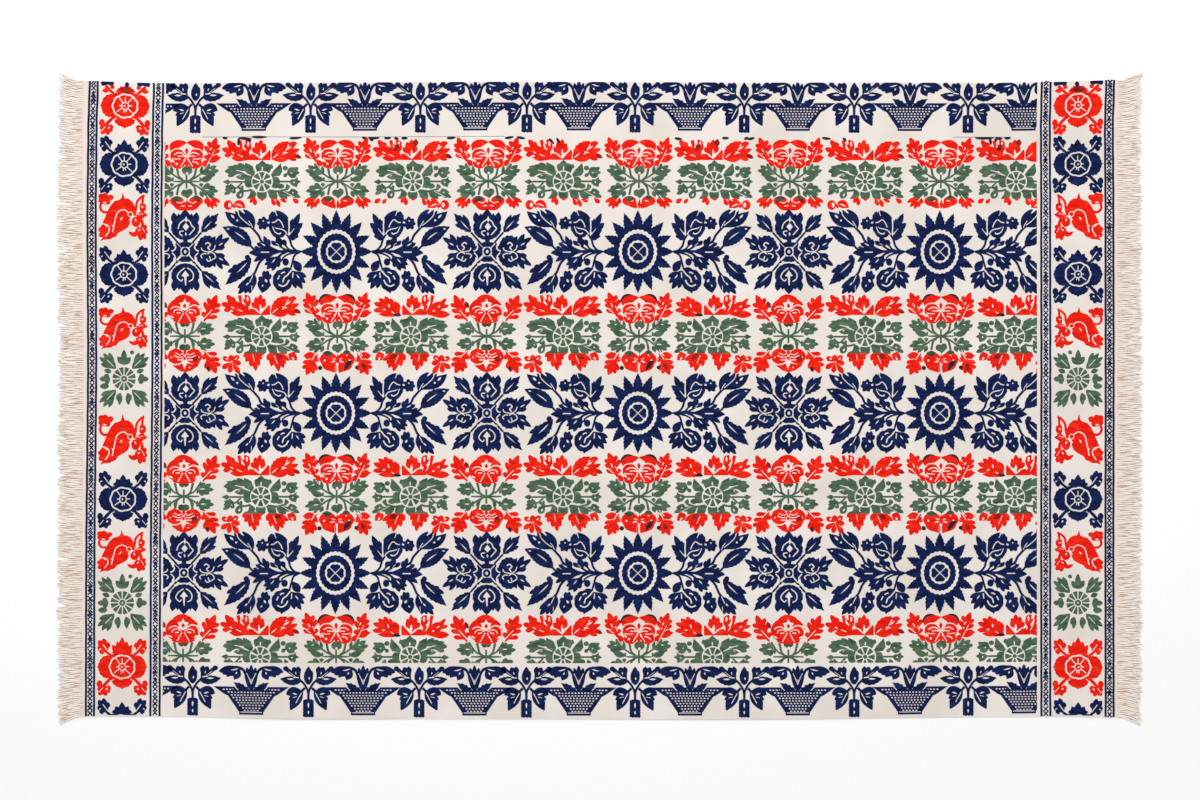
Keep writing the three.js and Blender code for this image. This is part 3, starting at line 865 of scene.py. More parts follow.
def wheel(full=False, fan=False, turn=1):
    """A green wheel in a wreath of leaves, under a row of red leaves. The leaves below are tips, or
    whole if full. With a fan the row above ends in a fan of fingers and a long curled leaf. The
    small flower below sits to the left, or to the right where turn is -1."""
    tone = "red|green|red"
    hub = 1.5 - 0.5j
    wedges(tone, hub, 6, 19, (90, 133, 180, 221, 269, 315, 358, 45), 34)
    disc(tone, hub, 3.4, points=12)
    # the wreath
    petal(tone, hub, 21.5, 36, 103, 28)
    petal(tone, hub, 21.5, 37, 69, 38)
    leaf(tone, 2 + 28j, 2 + 42j, 16, fat=0.3)
    leaf(tone, 17 + 24j, 21 + 34j, 8, fat=0.5)
    gap(2 + 20j, 2 + 30j, 3, fat=0.5)
    drawn.append((tone, [19 + 13j, 25 + 22j, 39 + 36j, 42 + 19j, 37 + 11j, 29 + 10j, 22 + 8j]))
    petal(tone, hub, 21.8, 35.5, -4, 54)
    leaf(tone, 27 - 9j, 46 - 10j, 9, fat=0.6, blunt=0.6)
    petal(tone, hub, 21, 34.5, 180, 60)
    petal(tone, hub, 21.5, 33, -90, 50)
    leaf(tone, 2 - 28j, 2.5 - 39j, 16, fat=0.3)
    petal(tone, hub, 21.5, 42, -53, 18)
    leaf(tone, 16 - 18j, 31 - 36j, 15, fat=0.5, blunt=0.7)
    drawn.append((tone, [-23 - 14j, -13 - 19j, -9 - 24j, -13 - 35j, -29 - 35j, -23 - 27j, -21 - 20j]))
    # the stems and their leaves to the right
    stem(tone, 35 - 0.5j, 62 - 0.5j, wide=2)
    bud = [56 + 0j, 60 + 4j, 66 + 4j, 73 + 9j, 72 + 4j, 79 - 1j, 73 - 4j, 71 - 12j, 62 - 9j, 58 - 5j]
    drawn.append((tone, bud))
    hole(65 - 2j, 1.8, points=8)
    leaf(tone, 50 - 4j, 54 - 15j, 8, fat=0.7, blunt=0.7)
    leaf(tone, 50 + 14j, 65 + 28j, 10, fat=0.55)
    leaf(tone, 50 + 16j, 70 + 9j, 10, fat=0.6)
    hand(tone, 55 + 17j, (74 + 27j, 76 + 17j, 70 + 10j), 7)
    gap(58 + 18j, 62 + 15j, 2.2)
    disc(tone, 47.5 + 26j, 4.4, 3.8, points=12)
    leaf(tone, 53 + 16j, 44 + 9j, 6, fat=0.6, blunt=0.7)
    stem(tone, 18 - 18j, 34 - 20j, 53 - 15j, wide=2.6)
    leaf(tone, 33 - 20j, 52 - 35j, 12, fat=0.5, blunt=0.8)
    leaf(tone, 40 - 20j, 61 - 29j, 8, fat=0.55)
    leaf(tone, 52 - 22j, 74 - 22j, 12, fat=0.55)
    hand(tone, 57 - 23j, (78 - 32j, 70 - 32j, 64 - 15j), 6.4)
    gap(61 - 21j, 65 - 24j, 2.6)
    vein(43 - 19j, 55 - 26j, 66 - 31j, wide=1.3)
    # the oak leaf, the bud and the small flower to the left
    leaf(tone, -15 + 11j, -32 + 37j, 17, fat=0.4, blunt=0.9)
    vein(-12.5 + 20j, -15 + 27j, -14.5 + 38j, wide=1.8)
    vein(-36 + 38j, -31 + 28j, wide=1.6)
    hand(tone, -23 + 20j, (-46 + 36j, -55 + 32j, -67 + 29j), 8)
    hand(tone, -44 + 22j, (-72 + 20j, -66 + 10j, -56 + 16j), 9.5)
    leaf(tone, -28 + 15j, -62 + 21j, 8, fat=0.7)
    vein(-49 + 22j, -40 + 20j, -30 + 16j, -20 + 11j, wide=1.9)
    leaf(tone, -26 + 12j, -51 + 9j, 10, bend=0.12)
    gap(-39 + 13j, -44 + 9j, 2)
    stem(tone, -32 - 1j, -60 - 1j, wide=1.8)
    drawn.append((tone, [-76 - 1j, -66 + 4j, -59 - 1j, -66 - 6.5j]))
    stem(tone, -38 - 3j, -50 - 13j, -61 - 5j, wide=1.8)
    leaf(tone, -48 - 12j, -72 - 17j, 12, fat=0.6)
    hand(tone, -51 - 13j, (-71 - 10j, -73 - 26j, -56 - 24j), 7)
    hole(-56 - 17j, 1.4, points=8)
    stem(tone, -18 - 17j, -34 - 19j, -39 - 12j, wide=2.4)
    leaf(tone, -36 - 16j, -46 - 34j, 13, fat=0.6, blunt=0.6)
    gap(-39 - 23j, -42 - 30j, 4, fat=0.6)
    hand(tone, -36 - 18j, (-38 - 8j, -46 - 11j), 4)
    # the red leaves above
    tone = "red"
    drawn.append((tone, [-27 + 42j, 18.5 + 42j, 19 + 58j, 17 + 63j, 11 + 57j, 0 + 44j, -8 + 53j, -21 + 55j]))
    leaf(tone, -4 + 48j, -2 + 80j, 14, fat=0.55)
    hand(tone, -4 + 52j, (0 + 83j, -10 + 78j, -18 + 67j, 8 + 75j, 10 + 68j), 9)
    gap(-14 + 56j, 0 + 44j, 2.6)
    gap(0 + 48j, -1 + 64j, 5.5 if fan else 4)
    stem(tone, -25 + 43j, -37 + 61j, -42 + 81j, wide=3.6, taper=1.3)
    stem(tone, -25 + 43j, -28 + 58j, -23 + 66j, -24 + 78j, wide=7, taper=0.7)
    disc(tone, -28 + 73j, 7, 9, waves=5, depth=0.14)
    hole(-26 + 74j, 2, 5, points=10)
    hole(-33 + 76j, 1.6, 4, points=8)
    vein(-29 + 48j, -36 + 66j, -36 + 79j, wide=2)
    if fan:
        leaf(tone, -26 + 45j, -66 + 66j, 18, fat=0.6, blunt=0.7)
        hand(tone, -50 + 55j, (-69 + 75j, -74 + 61j), 6)
        leaf(tone, -27 + 44j, -76 + 43j, 13, fat=0.66, blunt=0.8)
        gap(-57 + 61j, -51 + 56j, 2.6)
        gap(-47 + 52j, -41 + 49j, 3)
        leaf(tone, 22 + 42j, 56 + 60j, 27, fat=0.6, blunt=0.6)
        hand(tone, 38 + 53j, (76 + 51j, 75 + 66j, 65 + 75j, 53 + 79j, 42 + 75j), 8.8, fat=0.72)
        leaf(tone, 23 + 43j, 34 + 70j, 14, bend=-0.05, fat=0.6)
        leaf(tone, 26 + 43j, 66 + 44j, 9, fat=0.6)
        gap(44 + 56j, 46 + 65j, 3)
        gap(51 + 53j, 58 + 52j, 3)
        vein(33 + 44j, 40 + 49j, wide=1.8)
        leaf("dusk", 20 + 41.5j, 38 + 43j, 4.6)
    else:
        leaf(tone, -24 + 42j, -66 + 70j, 20, fat=0.55, blunt=0.8)
        hand(tone, -50 + 57j, (-67 + 82j, -57 + 78j, -78 + 65j, -73 + 51j), 9, fat=0.72)
        leaf(tone, -26 + 43j, -44 + 67j, 13, bend=0.06, fat=0.6)
        leaf(tone, -25 + 42j, -60 + 47j, 9, fat=0.6)
        gap(-59 + 59j, -52 + 54j, 2.6)
        vein(-46 + 53j, -36 + 49j, wide=1.8)
        leaf(tone, 21 + 43j, 55 + 79j, 22, teeth=6, cut=0.14, bend=0.12, fat=0.5, blunt=0.8)
        leaf(tone, 22 + 43j, 60 + 50j, 13, bend=-0.06, fat=0.5)
        hand(tone, 44 + 52j, (68 + 77j, 76 + 64j, 78 + 50j, 70 + 42j), 8)
        leaf(tone, 48 + 74j, 71 + 75j, 8, fat=0.7, blunt=0.7)
        leaf("wine", 66 + 52j, 80 + 46j, 7)
        gap(22 + 45j, 36 + 57j, 2.4)
        gap(42 + 58j, 54 + 56j, 2.6)
        gap(49 + 62j, 61 + 70j, 3)
    # the red leaves below
    if full:
        middle = -58 - 51j
        for angle, far in ((152, 20), (96, 14), (40, 19), (-10, 19), (-55, 28), (-100, 22), (-145, 23)):
            leaf(tone, middle, middle + cmath.rect(far, math.radians(angle)), 9, fat=0.68, blunt=0.7)
        hole(-67 - 45j, 2.2, points=8)
        gap(-52 - 47j, -46 - 42j, 2.6)
        hole(middle, 1.6, points=8)
        low = "green|green|red"
        hand(low, -15 - 27j, (-35 - 41j, -30 - 51j, -20 - 61j, -10 - 69j, -3 - 59j, 2 - 46j), 9.6)
        hand(low, 26 - 27j, (13 - 48j, 21 - 60j, 36 - 70j, 46 - 63j), 10.6)
        hand(low, 24 - 30j, (57 - 48j, 50 - 55j), 9.6)
        leaf("wine", 30 - 36j, 44 - 45j, 8)
        vein(-16 - 36j, -13 - 50j, wide=1.4)
        vein(26 - 38j, 33 - 54j, wide=1.4)
        leaf(tone, 54 - 36j, 72 - 48j, 15, bend=0.14)
        gap(62 - 41j, 66 - 48j, 4)
    else:
        for a, b, wide in (
            (-12 - 30j, -22 - 42.5j, 6.5),
            (-12 - 32j, -12 - 48j, 7),
            (20 - 34j, 28 - 48j, 7),
            (30 - 34j, 37 - 51j, 7),
            (36 - 35j, 51 - 41j, 5),
        ):
            leaf(tone, a, b, wide, fat=0.6, blunt=0.7)
        leaf(tone, 62 * turn - 34j, 74 * turn - 43j, 8, fat=0.6, blunt=0.7)
        if turn < 0:
            leaf(tone, -50 - 34j, -58 - 44j, 6, fat=0.6, blunt=0.7)
            leaf("wine", -36 + 60j, -25 + 74j, 8)
            leaf("wine", 6 + 68j, 8 + 84j, 10, fat=0.5)
        # a small swirling flower
        disc(tone, -65 * turn - 47j, 8, 9, points=16)
        hole(-62 * turn - 47j, 3, 5, points=10)
        leaf(tone, -54 * turn - 43j, -31 * turn - 53j, 15, bend=0.2 * turn)
        gap(-50 * turn - 45j, -36 * turn - 51j, 3, bend=0.14 * turn)
        stem(tone, -57 * turn - 46j, -51 * turn - 52j, wide=4)


BAND_ROWS = (433.7, 126.6, -191.3, -507.9)
low_edge = ((0, -520.2, 0), (0, -1, 0))
field = [field_left, field_right, low_edge]
crosses = [figure(cross, seams=(35, -33.5)), figure(cross, False, True, seams=(35, -33.5))]
full_cross = figure(cross, True, seams=(34, -33.5))
domes = figure(dome, seams=(29, -27))
wheels = [figure(wheel, False, False, turn, seams=(42, -34)) for turn in (1, -1)]
full_wheels = [figure(wheel, True, fan, seams=(42, -34)) for fan in (False, True)]
for band, row_y in enumerate(BAND_ROWS):
    for column in range(12):
        x = FIRST_COLUMN + COLUMN * column
        turned = column % 4 == 3
        if column % 2 and band:
            weave(full_wheels[turned], x, row_y, flip=-1 if turned else 1, keep=field)
        elif column % 2:
            weave(wheels[turned], x, row_y, keep=field)
        elif column % 4 == 0 and band:
            weave(domes, x - 1, row_y, keep=field)
        elif band:
            weave(full_cross, x + 2, row_y, keep=field)
        else:
            weave(crosses[column % 4 == 0], x + 2, row_y, keep=field)


ONE_THREAD = 0.7 - SPREAD
CHANGEOVER_MARKS = (
    # from and to along the cloth, its height, and how far it falls on the way
    (-748, -738, 520.5, 1), (-716, -690, 520, 2), (-715, -717, 521, 16), (-701, -691, 519, 6),
    (-691, -660, 522, 0), (-616, -591, 519, -2), (-472, -463, 520.5, 1), (-460, -437, 519.5, 0),
    (-457, -449, 518, 4), (-428, -414, 519.5, 0), (-408, -399, 519.5, 2), (-394, -381, 519, 0),
    (-304, -286, 519, -1), (-189, -171, 518.5, -3), (-165, -148, 521, 3), (-101, -91, 518, 11),
    (-86, -78, 519, 13), (148, 163, 519, 2), (242, 256, 519.5, 0), (286, 294, 517, -4),
    (292, 307, 517, -3), (440, 458, 520, 2), (482, 489, 520, 7), (744, 782, 520, 0),
    (774, 776, 520, 14), (784, 799, 519.5, 1), (802, 815, 519.5, 0), (785, 786, 519, 7),
)


def changeover():
    """The row where the navy weft of the basket row stops: a thin line, and dark leaf ends on it."""
    stem("dusk", -788 + 522j, -660 + 522j, -500 + 521.5j, -300 + 522j, -190 + 522j, wide=ONE_THREAD)
    stem("dusk", 700 + 521.5j, 816 + 521.5j, wide=ONE_THREAD)
    for x, far, y, drop in CHANGEOVER_MARKS:
        leaf("dusk", x + y * 1j, far + (y - drop) * 1j, 4, bend=-0.04, blunt=0.5)


weave(figure(changeover), 0, 0)
red_wool = fulled_wool("madder_wool", RED, RED_DEEP, RED_PALE)
green_wool = fulled_wool("green_wool", GREEN, GREEN_DEEP, GREEN_PALE)
dusk_wool = fulled_wool("dark_mixed_wool", DUSK, DUSK_DEEP, DUSK_PALE)
olive_wool = fulled_wool("olive_mixed_wool", OLIVE, OLIVE_DEEP, OLIVE_PALE)
wine_wool = fulled_wool("wine_mixed_wool", WINE, WINE_DEEP, WINE_PALE)
lay_wool("red", "red_blocks", red_wool)
lay_wool("green", "green_blocks", green_wool)
lay_wool("dusk", "dusk_petals", dusk_wool)
lay_wool("olive", "olive_petals", olive_wool)
lay_wool("wine", "wine_petals", wine_wool)

# ---------------------------------------------------------------------------------------------
# The basket rows along both long edges: wicker baskets of drooping leaves in indigo wool, and
# between them small trees with a notched trunk. The far row is cut by the cloth's edge.

BASKETS = (-908, -689, -468, -248, -42, 178.5, 392, 614.5, 840.5)
TREES = (-805, -576, -357.5, -145.5, 69.5, 286, 504, 730)
RIMS = (588.3, -568.5)
CELL = 6.4
CELL_OUTLINE = (1.9 - 1.3j, 1.6 + 1.3j, -1.9 + 1.3j, -1.6 - 1.3j)
CELL_ROWS = (-5, -10.5, -16, -21, -26, -31, -36, -41.5, -46.5)


def basket():
    """A wicker basket with open cells, from which two leafy stems droop to both sides."""
    tone = "navy"
    half = [75 + 0.5j, 52 - 15j, 46 - 17.5j, 25 - 48j, 24 - 49j, 24 - 54.5j]
    drawn.append((tone, half + [-p.conjugate() for p in reversed(half)]))
    for k, y in enumerate(CELL_ROWS):
        reach = 66 + 1.5 * y if y > -15 else 57 + 0.85 * y
        count = int(2 * (reach - 3) / CELL)
        for i in range(count + 1):
            x = (i - count / 2) * CELL
            if k or abs(x) > 28:
                drawn.append(("cream", [complex(x, y) + corner for corner in CELL_OUTLINE]))
    for x in (1, -1):
        # the leaves that lie over the rim, and the two stems with their drooping leaves
        leaf(tone, 5 * x - 8j, 35 * x + 9j, 12, teeth=4, cut=0.3, fat=0.5)
        hand(tone, 14 * x - 6j, (33 * x + 8j, 21 * x + 5j, 38 * x - 7j), 6)
        vein(26 * x - 6j, 33 * x + 1j, wide=1.8)
        vein(4 * x - 5j, 6 * x - 1j, wide=1.6)
        leaf(tone, 1 * x - 8j, 14 * x + 32j, 8.5, bend=0.06 * x, fat=0.45, blunt=0.8)
        stem(tone, 10 * x + 22j, 16 * x + 34j, 26 * x + 38j, 34 * x + 38j, wide=3, taper=1.6)
        leaf(tone, 17 * x + 36j, 64 * x + 30j, 14, bend=0.08 * x, fat=0.6, blunt=0.7)
        hand(tone, 34 * x + 34j, (57 * x + 25j, 49 * x + 20j), 7)
        leaf(tone, 22 * x + 35j, 34 * x + 14j, 14, fat=0.5)
        hand(tone, 26 * x + 32j, (42 * x + 22j, 28 * x + 19j), 6)
        gap(25 * x + 37j, 42 * x + 33j, 2.6, bend=-0.1 * x)
        gap(28 * x + 30j, 31 * x + 25j, 3)
        leaf(tone, 14j, 9 * x + 39j, 6.5, bend=-0.08 * x, fat=0.65, blunt=0.8)
        vein(6j, 4 * x + 17j, 9.5 * x + 28j, wide=1.5)
    leaf(tone, 12j, 44j, 7, fat=0.65, blunt=0.8)
    vein(-21.5 - 49.6j, 21.5 - 49.6j, wide=1.7)


def tree():
    """A small tree: a notched trunk, two bent boughs with leaves, and one bud at the top."""
    tone = "navy"
    notched = [(11 - 0.8 * (k % 2)) + (-26 - 2.9 * k) * 1j for k in range(12)]
    foot = [x - (59 - 1.4 * (k % 2)) * 1j for k, x in enumerate((8, 4.5, 1.5, -1.5, -4.5, -8))]
    drawn.append((tone, [6 - 23j, *notched, *foot, *(-p.conjugate() for p in reversed(notched)), -6 - 23j]))
    gap(-29j, -41j, 3.4)
    gap(-45j, -53j, 3)
    leaf(tone, 5j, 41.5j, 17, fat=0.42, blunt=0.8)
    hand(tone, 10j, (-6 + 31j, 7 + 33j), 8)
    gap(1.5 + 15j, 1.5 + 21j, 3)
    for x in (1, -1):
        stem(tone, 0 - 26j, 1 * x - 8j, 8 * x + 6j, 17 * x + 15j, wide=2.8)
        stem(tone, 15 * x + 13j, 28 * x + 24j, 45 * x + 37j, wide=3, taper=1.9)
        disc(tone, 45 * x + 37j, 4.6, 4, points=12)
        leaf(tone, 16 * x + 14j, 31 * x + 40j, 15, fat=0.6, blunt=0.8)
        leaf(tone, 18 * x + 22j, 21 * x + 42j, 9, fat=0.6)
        gap(26 * x + 31j, 24 * x + 25j, 2.2)
        vein(18 * x + 14j, 30 * x + 24j, 39 * x + 31j, wide=1.3, taper=0.7)
        leaf(tone, 14 * x + 12j, 56 * x + 17j, 17, teeth=5, cut=0.12, bend=-0.06 * x, fat=0.45, blunt=0.8)
        vein(19 * x + 19j, 30 * x + 20j, wide=2.2)
        gap(28 * x + 16.5j, 43 * x + 16.5j, 3.4)
        stem(tone, 7 * x - 1j, 15 * x - 9j, wide=3.4)
        leaf(tone, 12 * x - 6j, 36 * x - 45j, 19, bend=0.04 * x, fat=0.45, blunt=0.8)
        leaf(tone, 14 * x - 6j, 44 * x - 14j, 17, bend=0.14 * x, fat=0.55, blunt=0.8)
        hand(tone, 22 * x - 14j, (39 * x - 24j, 37 * x - 33j), 7)
        vein(14 * x - 11j, 19 * x - 20j, 25 * x - 31j, wide=1.8)
        gap(22 * x - 14j, 33 * x - 11j, 3)
        vein(23 * x - 18j, 31 * x - 20j, wide=1.3)


filled = figure(basket)
small_tree = figure(tree)
far_edge = ((0, 629.5, 0), (0, 1, 0))
for row_y in RIMS:
    for x in BASKETS:
        weave(filled, x, row_y, keep=[field_left, field_right, far_edge])
    for x in TREES:
        weave(small_tree, x, row_y, keep=[far_edge])
lay_wool("navy", "basket_rows", navy_wool)

# ---------------------------------------------------------------------------------------------
# The borders at both short ends: a column of wheel roses, curled leaves and green wheels in
# fulled wool, the right one the mirror image of the left.

BORDER_LEFT = -944.5
BORDER_RIGHT = 947.9
WHEEL_SPOKES = (
    # the angle of each spoke, and how far from the middle it starts and ends
    (90, 6, 17), (50, 6, 23), (126, 6, 22), (4, 6, 14), (178, 6, 12), (216, 6, 20), (318, 6, 21),
    (262, 6, 13), (284, 6, 12),
)


def wheel_rose(tone, ends):
    """A rose with a spoked wheel for its heart, four petals and four sprigs. Ends says how the
    upper petal and sprigs are: small, oak-leaved or pointed."""
    for x in (1, -1):
        disc(tone, 29.5 * x, 17.5, 22.5, waves=14, depth=0.06)
        leaf(tone, 38 * x, 50 * x, 10, fat=0.3)
    disc(tone, -24j, 21.5, 17.5, waves=16, depth=0.06)
    leaf(tone, -36j, -44.5j, 9, fat=0.3)
    disc(tone, 24j, 20.5, 13.5, waves=12, depth=0.06)
    tips = {"small": (41j, 10 + 39j, -10 + 39j), "oak": (49.5j, 13 + 41j, -13 + 41j, 19 + 32j, -19 + 32j)}
    tips = tips.get(ends, (60j, 10 + 51j, -10 + 51j, 20 + 44j, -20 + 44j))
    hand(tone, 18j, tips, 14, fat=0.5, blunt=0.9)
    for x in (1, -1):
        stem(tone, 19 * x + 20j, 30 * x + 29j, 40 * x + 39j, wide=3, taper=1.3)
        vein(17 * x + 26j, 24 * x + 29j, wide=1.6)
        stem(tone, 20 * x - 20j, 31 * x - 31j, 43 * x - 46j, wide=4, taper=1.2)
        vein(16 * x - 24j, 24 * x - 30j, 37 * x - 45j, wide=1.7)
        vein(27 * x - 22j, 33 * x - 28j, wide=1.4)
        # the sprigs below
        disc(tone, 45 * x - 34j, 5, 6.4, points=16)
        leaf(tone, 40 * x - 42j, 50 * x - 45j, 9)
        hand(tone, 37 * x - 40j, (46 * x - 57j, 42 * x - 56j, 24 * x - 51j, 32 * x - 58j, 22 * x - 43j), 8.5)
        gap(29 * x - 42j, 33 * x - 46j, 3.4)
        vein(38 * x - 41j, 46 * x - 51j, wide=1.4)
        if ends == "small":
            leaf(tone, 32 * x + 30j, 47 * x + 29j, 8)
            leaf(tone, 22 * x + 34j, 31 * x + 40j, 7)
            hand("navy", 36 * x + 41j, (23 * x + 46j, 49 * x + 45j, 33 * x + 52j, 42 * x + 52j), 9)
        else:
            leaf(tone, 28 * x + 29j, 42 * x + 50j, 15, fat=0.5)
            tips = (27 * x + 49j, 37 * x + 57j, 47 * x + 53j, 49 * x + 40j, 45 * x + 29j)
            hand(tone, 32 * x + 33j, tips, 10)
            vein(27 * x + 30j, 38 * x + 45j, wide=1.9)
            gap(41 * x + 37j, 46 * x + 34j, 2.2)
    if ends == "small":
        leaf("wine", -14 + 31j, 16 + 31j, 11)
        leaf("navy", 3 + 36j, 3 + 49j, 7)
    hole(0, 27, 25.2, waves=9, depth=0.06)
    disc(tone, 0, 22.7, 21, waves=9, depth=0.05)
    for angle, near, far in WHEEL_SPOKES:
        vein(cmath.rect(near, math.radians(angle)), cmath.rect(far, math.radians(angle)), wide=2)
    hole(0, 8, points=20)
    disc(tone, 0, 5, points=16)
    hole(-1, 2, points=8)


def green_wheel():
    """A green wheel of twelve wedges among lobed leaves that point outwards, with a bud on top."""
    tone = "green"
    wedges(tone, 0, 8, 23, range(15, 375, 30), 23)
    disc(tone, 0, 5.2, points=16)
    hole(0, 2, points=8)
    hand(tone, 28j, (58j, 13 + 43j, -13 + 44j), 10, fat=0.5)
    leaf(tone, 12 + 51j, 20 + 54j, 6, blunt=0.6)
    leaf(tone, -30 - 14j, -48 - 15j, 10, blunt=0.6)
    for x in (1, -1):
        hand(tone, 7 * x - 28j, (9 * x - 52j, 14 * x - 43j), 8, fat=0.5)
        hand(tone, 27 * x - 1j, (49 * x, 39 * x + 8j, 38 * x - 8j), 9)
        leaf(tone, 25 * x + 13j, 40 * x + 18j, 8)
        for y in (1, -1.09):
            tips = (30 * x + 52j * y, 41 * x + 51j * y, 49 * x + 43j * y, 46 * x + 30j * y)
            hand(tone, 17 * x + 20j * y, tips, 8)
            leaf(tone, 16 * x + 20j * y, 37 * x + 40j * y, 14)
            vein(21 * x + 25j * y, 34 * x + 38j * y, wide=1.6)


def curled_leaf():
    """A big toothed leaf that curls over a vein, with a curled stem on its back and a sprig."""
    tone = "red"
    # the body, from the tail up the back and down the inner edge
    back = [-46 - 47j, -39 - 36j, -33 - 22j, -33 - 14j, -42 - 12j, -36 + 1j, -32 + 12j, -26 + 23j, -18 + 32j]
    over = [-10 + 34j, -5 + 37j, -2 + 49j, 2 + 37j, 9 + 37j, 17 + 31j, 22 + 21j, 21 + 8j, 13 + 0j]
    under = [12 - 12j, 8 - 20j, 1 - 25j, -3 - 27j, -11 - 31j, -15 - 38j, -23 - 41j, -28 - 44j, -37 - 44j]
    drawn.append((tone, back + over + under))
    vein(-22 - 30j, -19 - 14j, -15 + 4j, -9 + 12j, 0 + 15j, 6 + 12j, 11 + 8j, wide=2.4)
    gap(-24 - 16j, -18 - 20j, 2.4)
    gap(-7 - 6j, -2 + 1j, 3)
    leaf("wine", -47 + 40j, -30 + 39j, 10)
    vein(-37 - 14j, -30 - 18j, -29 - 27j, -36 - 38j, wide=2.4)
    leaf(tone, -38 - 34j, -40 - 14j, 15, bend=0.1, blunt=0.7)
    hand(tone, -36 - 30j, (-50 - 22j, -49 - 38j), 9)
    stem(tone, -30 + 10j, -40 + 10j, -46 + 17j, -45 + 27j, -40 + 34j, wide=3.4)
    hand(tone, -38 + 35j, (-49 + 45j, -50 + 31j, -36 + 48j, -20 + 41j, -27 + 27j, -37 + 25j), 10)
    gap(-42 + 29j, -33 + 28j, 3)
    # the knot and the sprig at the front
    hole(13 + 6j, 5.6, points=14)
    disc(tone, 13 + 6j, 3.2, points=12)
    vein(11 - 6j, 16 + 1j, 22 + 2j, 31 - 2j, wide=2.4)
    stem(tone, 21 + 3j, 24 + 16j, 26 + 30j, 33 + 39j, 41 + 44j, wide=3.2)
    stem(tone, 37 + 28j, 38 + 41j, wide=3)
    disc(tone, 37 + 20j, 7, 8.5, waves=5, depth=0.1)
    gap(34 + 19j, 39 + 22j, 3)
    vein(30 + 12j, 31 + 24j, 31 + 32j, wide=2)
    hand(tone, 23 + 3j, (47 + 5j, 42 + 10j, 40 + 0j), 7)
    vein(28 + 5j, 38 + 7j, wide=1.4)
    disc(tone, 24 - 9j, 8, 9.5, points=18)
    gap(22 - 2j, 25 - 9j, 3)
    stem(tone, 33 - 2j, 37 - 12j, 36 - 22j, wide=4.5)
    leaf(tone, 27 - 18j, 40 - 42j, 18, fat=0.5)
    hand(tone, 33 - 24j, (33 - 46j, 43 - 43j, 47 - 31j, 46 - 17j, 17 - 38j, 23 - 28j), 8.5)
    leaf(tone, 24 - 36j, 9 - 28j, 6, bend=0.14)
    gap(28 - 27j, 33 - 23j, 3)
    vein(36 - 20j, 42 - 30j, wide=1.3)


top_rose = figure(wheel_rose, "red", "small")
low_rose = figure(wheel_rose, "red", "pointed")
navy_rose = figure(wheel_rose, "navy", "oak")
wheel_of_leaves = figure(green_wheel)
curled = figure(curled_leaf)
near_edge = ((0, -627, 0), (0, -1, 0))
BORDER_COLUMN = (
    # each motif, its place across the cloth and how tall it is beaten
    (top_rose, 582.5, 1.0),
    (navy_rose, 466.8, 1.0),
    (curled, 362.3, 1.0),
    (navy_rose, 249.2, 1.0),
    (curled, 142, 0.87),
    (wheel_of_leaves, 42, 1.0),
    (curled, -79, 1.05),
    (navy_rose, -197, 1.0),
    (curled, -301, 0.87),
    (wheel_of_leaves, -402.6, 1.0),
    (low_rose, -530.5, 1.0),
    (navy_rose, -650, 1.0),
)
for motif, y, tall in BORDER_COLUMN:
    weave(motif, BORDER_LEFT, y, tall=tall, keep=[far_edge, near_edge])
    weave(motif, BORDER_RIGHT, y, flip=-1, tall=tall, keep=[far_edge, near_edge])
lay_wool("red", "border_roses_and_leaves", red_wool)
lay_wool("navy", "border_navy_roses", navy_wool)
lay_wool("green", "border_green_wheels", green_wool)
lay_wool("wine", "border_wine_petals", wine_wool)

# ---------------------------------------------------------------------------------------------
# The guard stripes: four pairs of indigo lines across the cloth, each pair with a loose braid
# of the same wool between its lines, crossed by hand so that no two loops are alike.

GUARD_PAIRS = ((-1016, -1000), (-888.3, -870.2), (875.2, 892.6), (1002.5, 1018))
GUARD_WIDE = 2.6
GUARD_ENDS = (-629, 630)
GUARD_STEP = 12
BRAID_WIDE = 1.2
BRAID_SWING = 4.4
BRAID_STEP = 9.6
BRAID_STEPS = 131


def guard(left, right, seed):
    """Two lines, and between them a zigzag that a second strand crosses here and there."""
    near, far = GUARD_ENDS
    middle = (left + right) / 2
    for edge in (left, right):
        heights = [*range(near, far - 1, GUARD_STEP), far]
        line = [edge + lean(edge, y) + 0.25 * math.sin(y * 0.11 + edge) + 1j * y for y in heights]
        stem("navy", *line, wide=GUARD_WIDE, steps=1)
    for k in range(BRAID_STEPS):
        y = near + 1 + k * BRAID_STEP + 1.2 * math.sin(2.3 * k + seed)
        side = (-1) ** k
        across = middle + lean(middle, y) + y * 1j
        swing = side * BRAID_SWING * (1 + 0.12 * math.sin(1.9 * k + 2 * seed))
        rise = BRAID_STEP * 1j
        wide = BRAID_WIDE * (1 + 0.3 * math.sin(1.3 * k + 3 * seed))
        stem("navy", across - swing, across + rise + swing, wide=wide, steps=1)
        if math.sin(0.47 * k + 4 * seed) + math.sin(1.13 * k + seed) > -0.1:
            stem("navy", across + swing, across + rise - swing, wide=wide, steps=1)
        else:
            start = across - swing + 0.55 * rise
            stem("navy", start, across + 0.2 * swing + 1.1 * rise, wide=wide, steps=1)
            stem("navy", across + swing, across + 0.4 * swing + 0.4 * rise, wide=wide, steps=1)


for number, (left, right) in enumerate(GUARD_PAIRS):
    weave(figure(guard, left, right, 1.7 * number, limber=True), 0, 0)
lay_wool("navy", "guard_stripes", navy_wool)

# ---------------------------------------------------------------------------------------------
# The fringes: yarns left long past both short ends, plied by hand and let hang loose in small
# tufts. They are soft cotton, combed out flat on the floor, with shadowed gaps between them and tan painted
# shade in streaks along the yarns.

FRINGE_LENGTH = 48
YARN_PITCH = 3.7
YARN_RADIUS = 1.8
YARN_ROOT = 4.5
TUFT = 5
SWAY = 3.5
FLARE = 17
YARN = "#f0e6dc"
YARN_PAINTED_SHADE = "#d0b098"


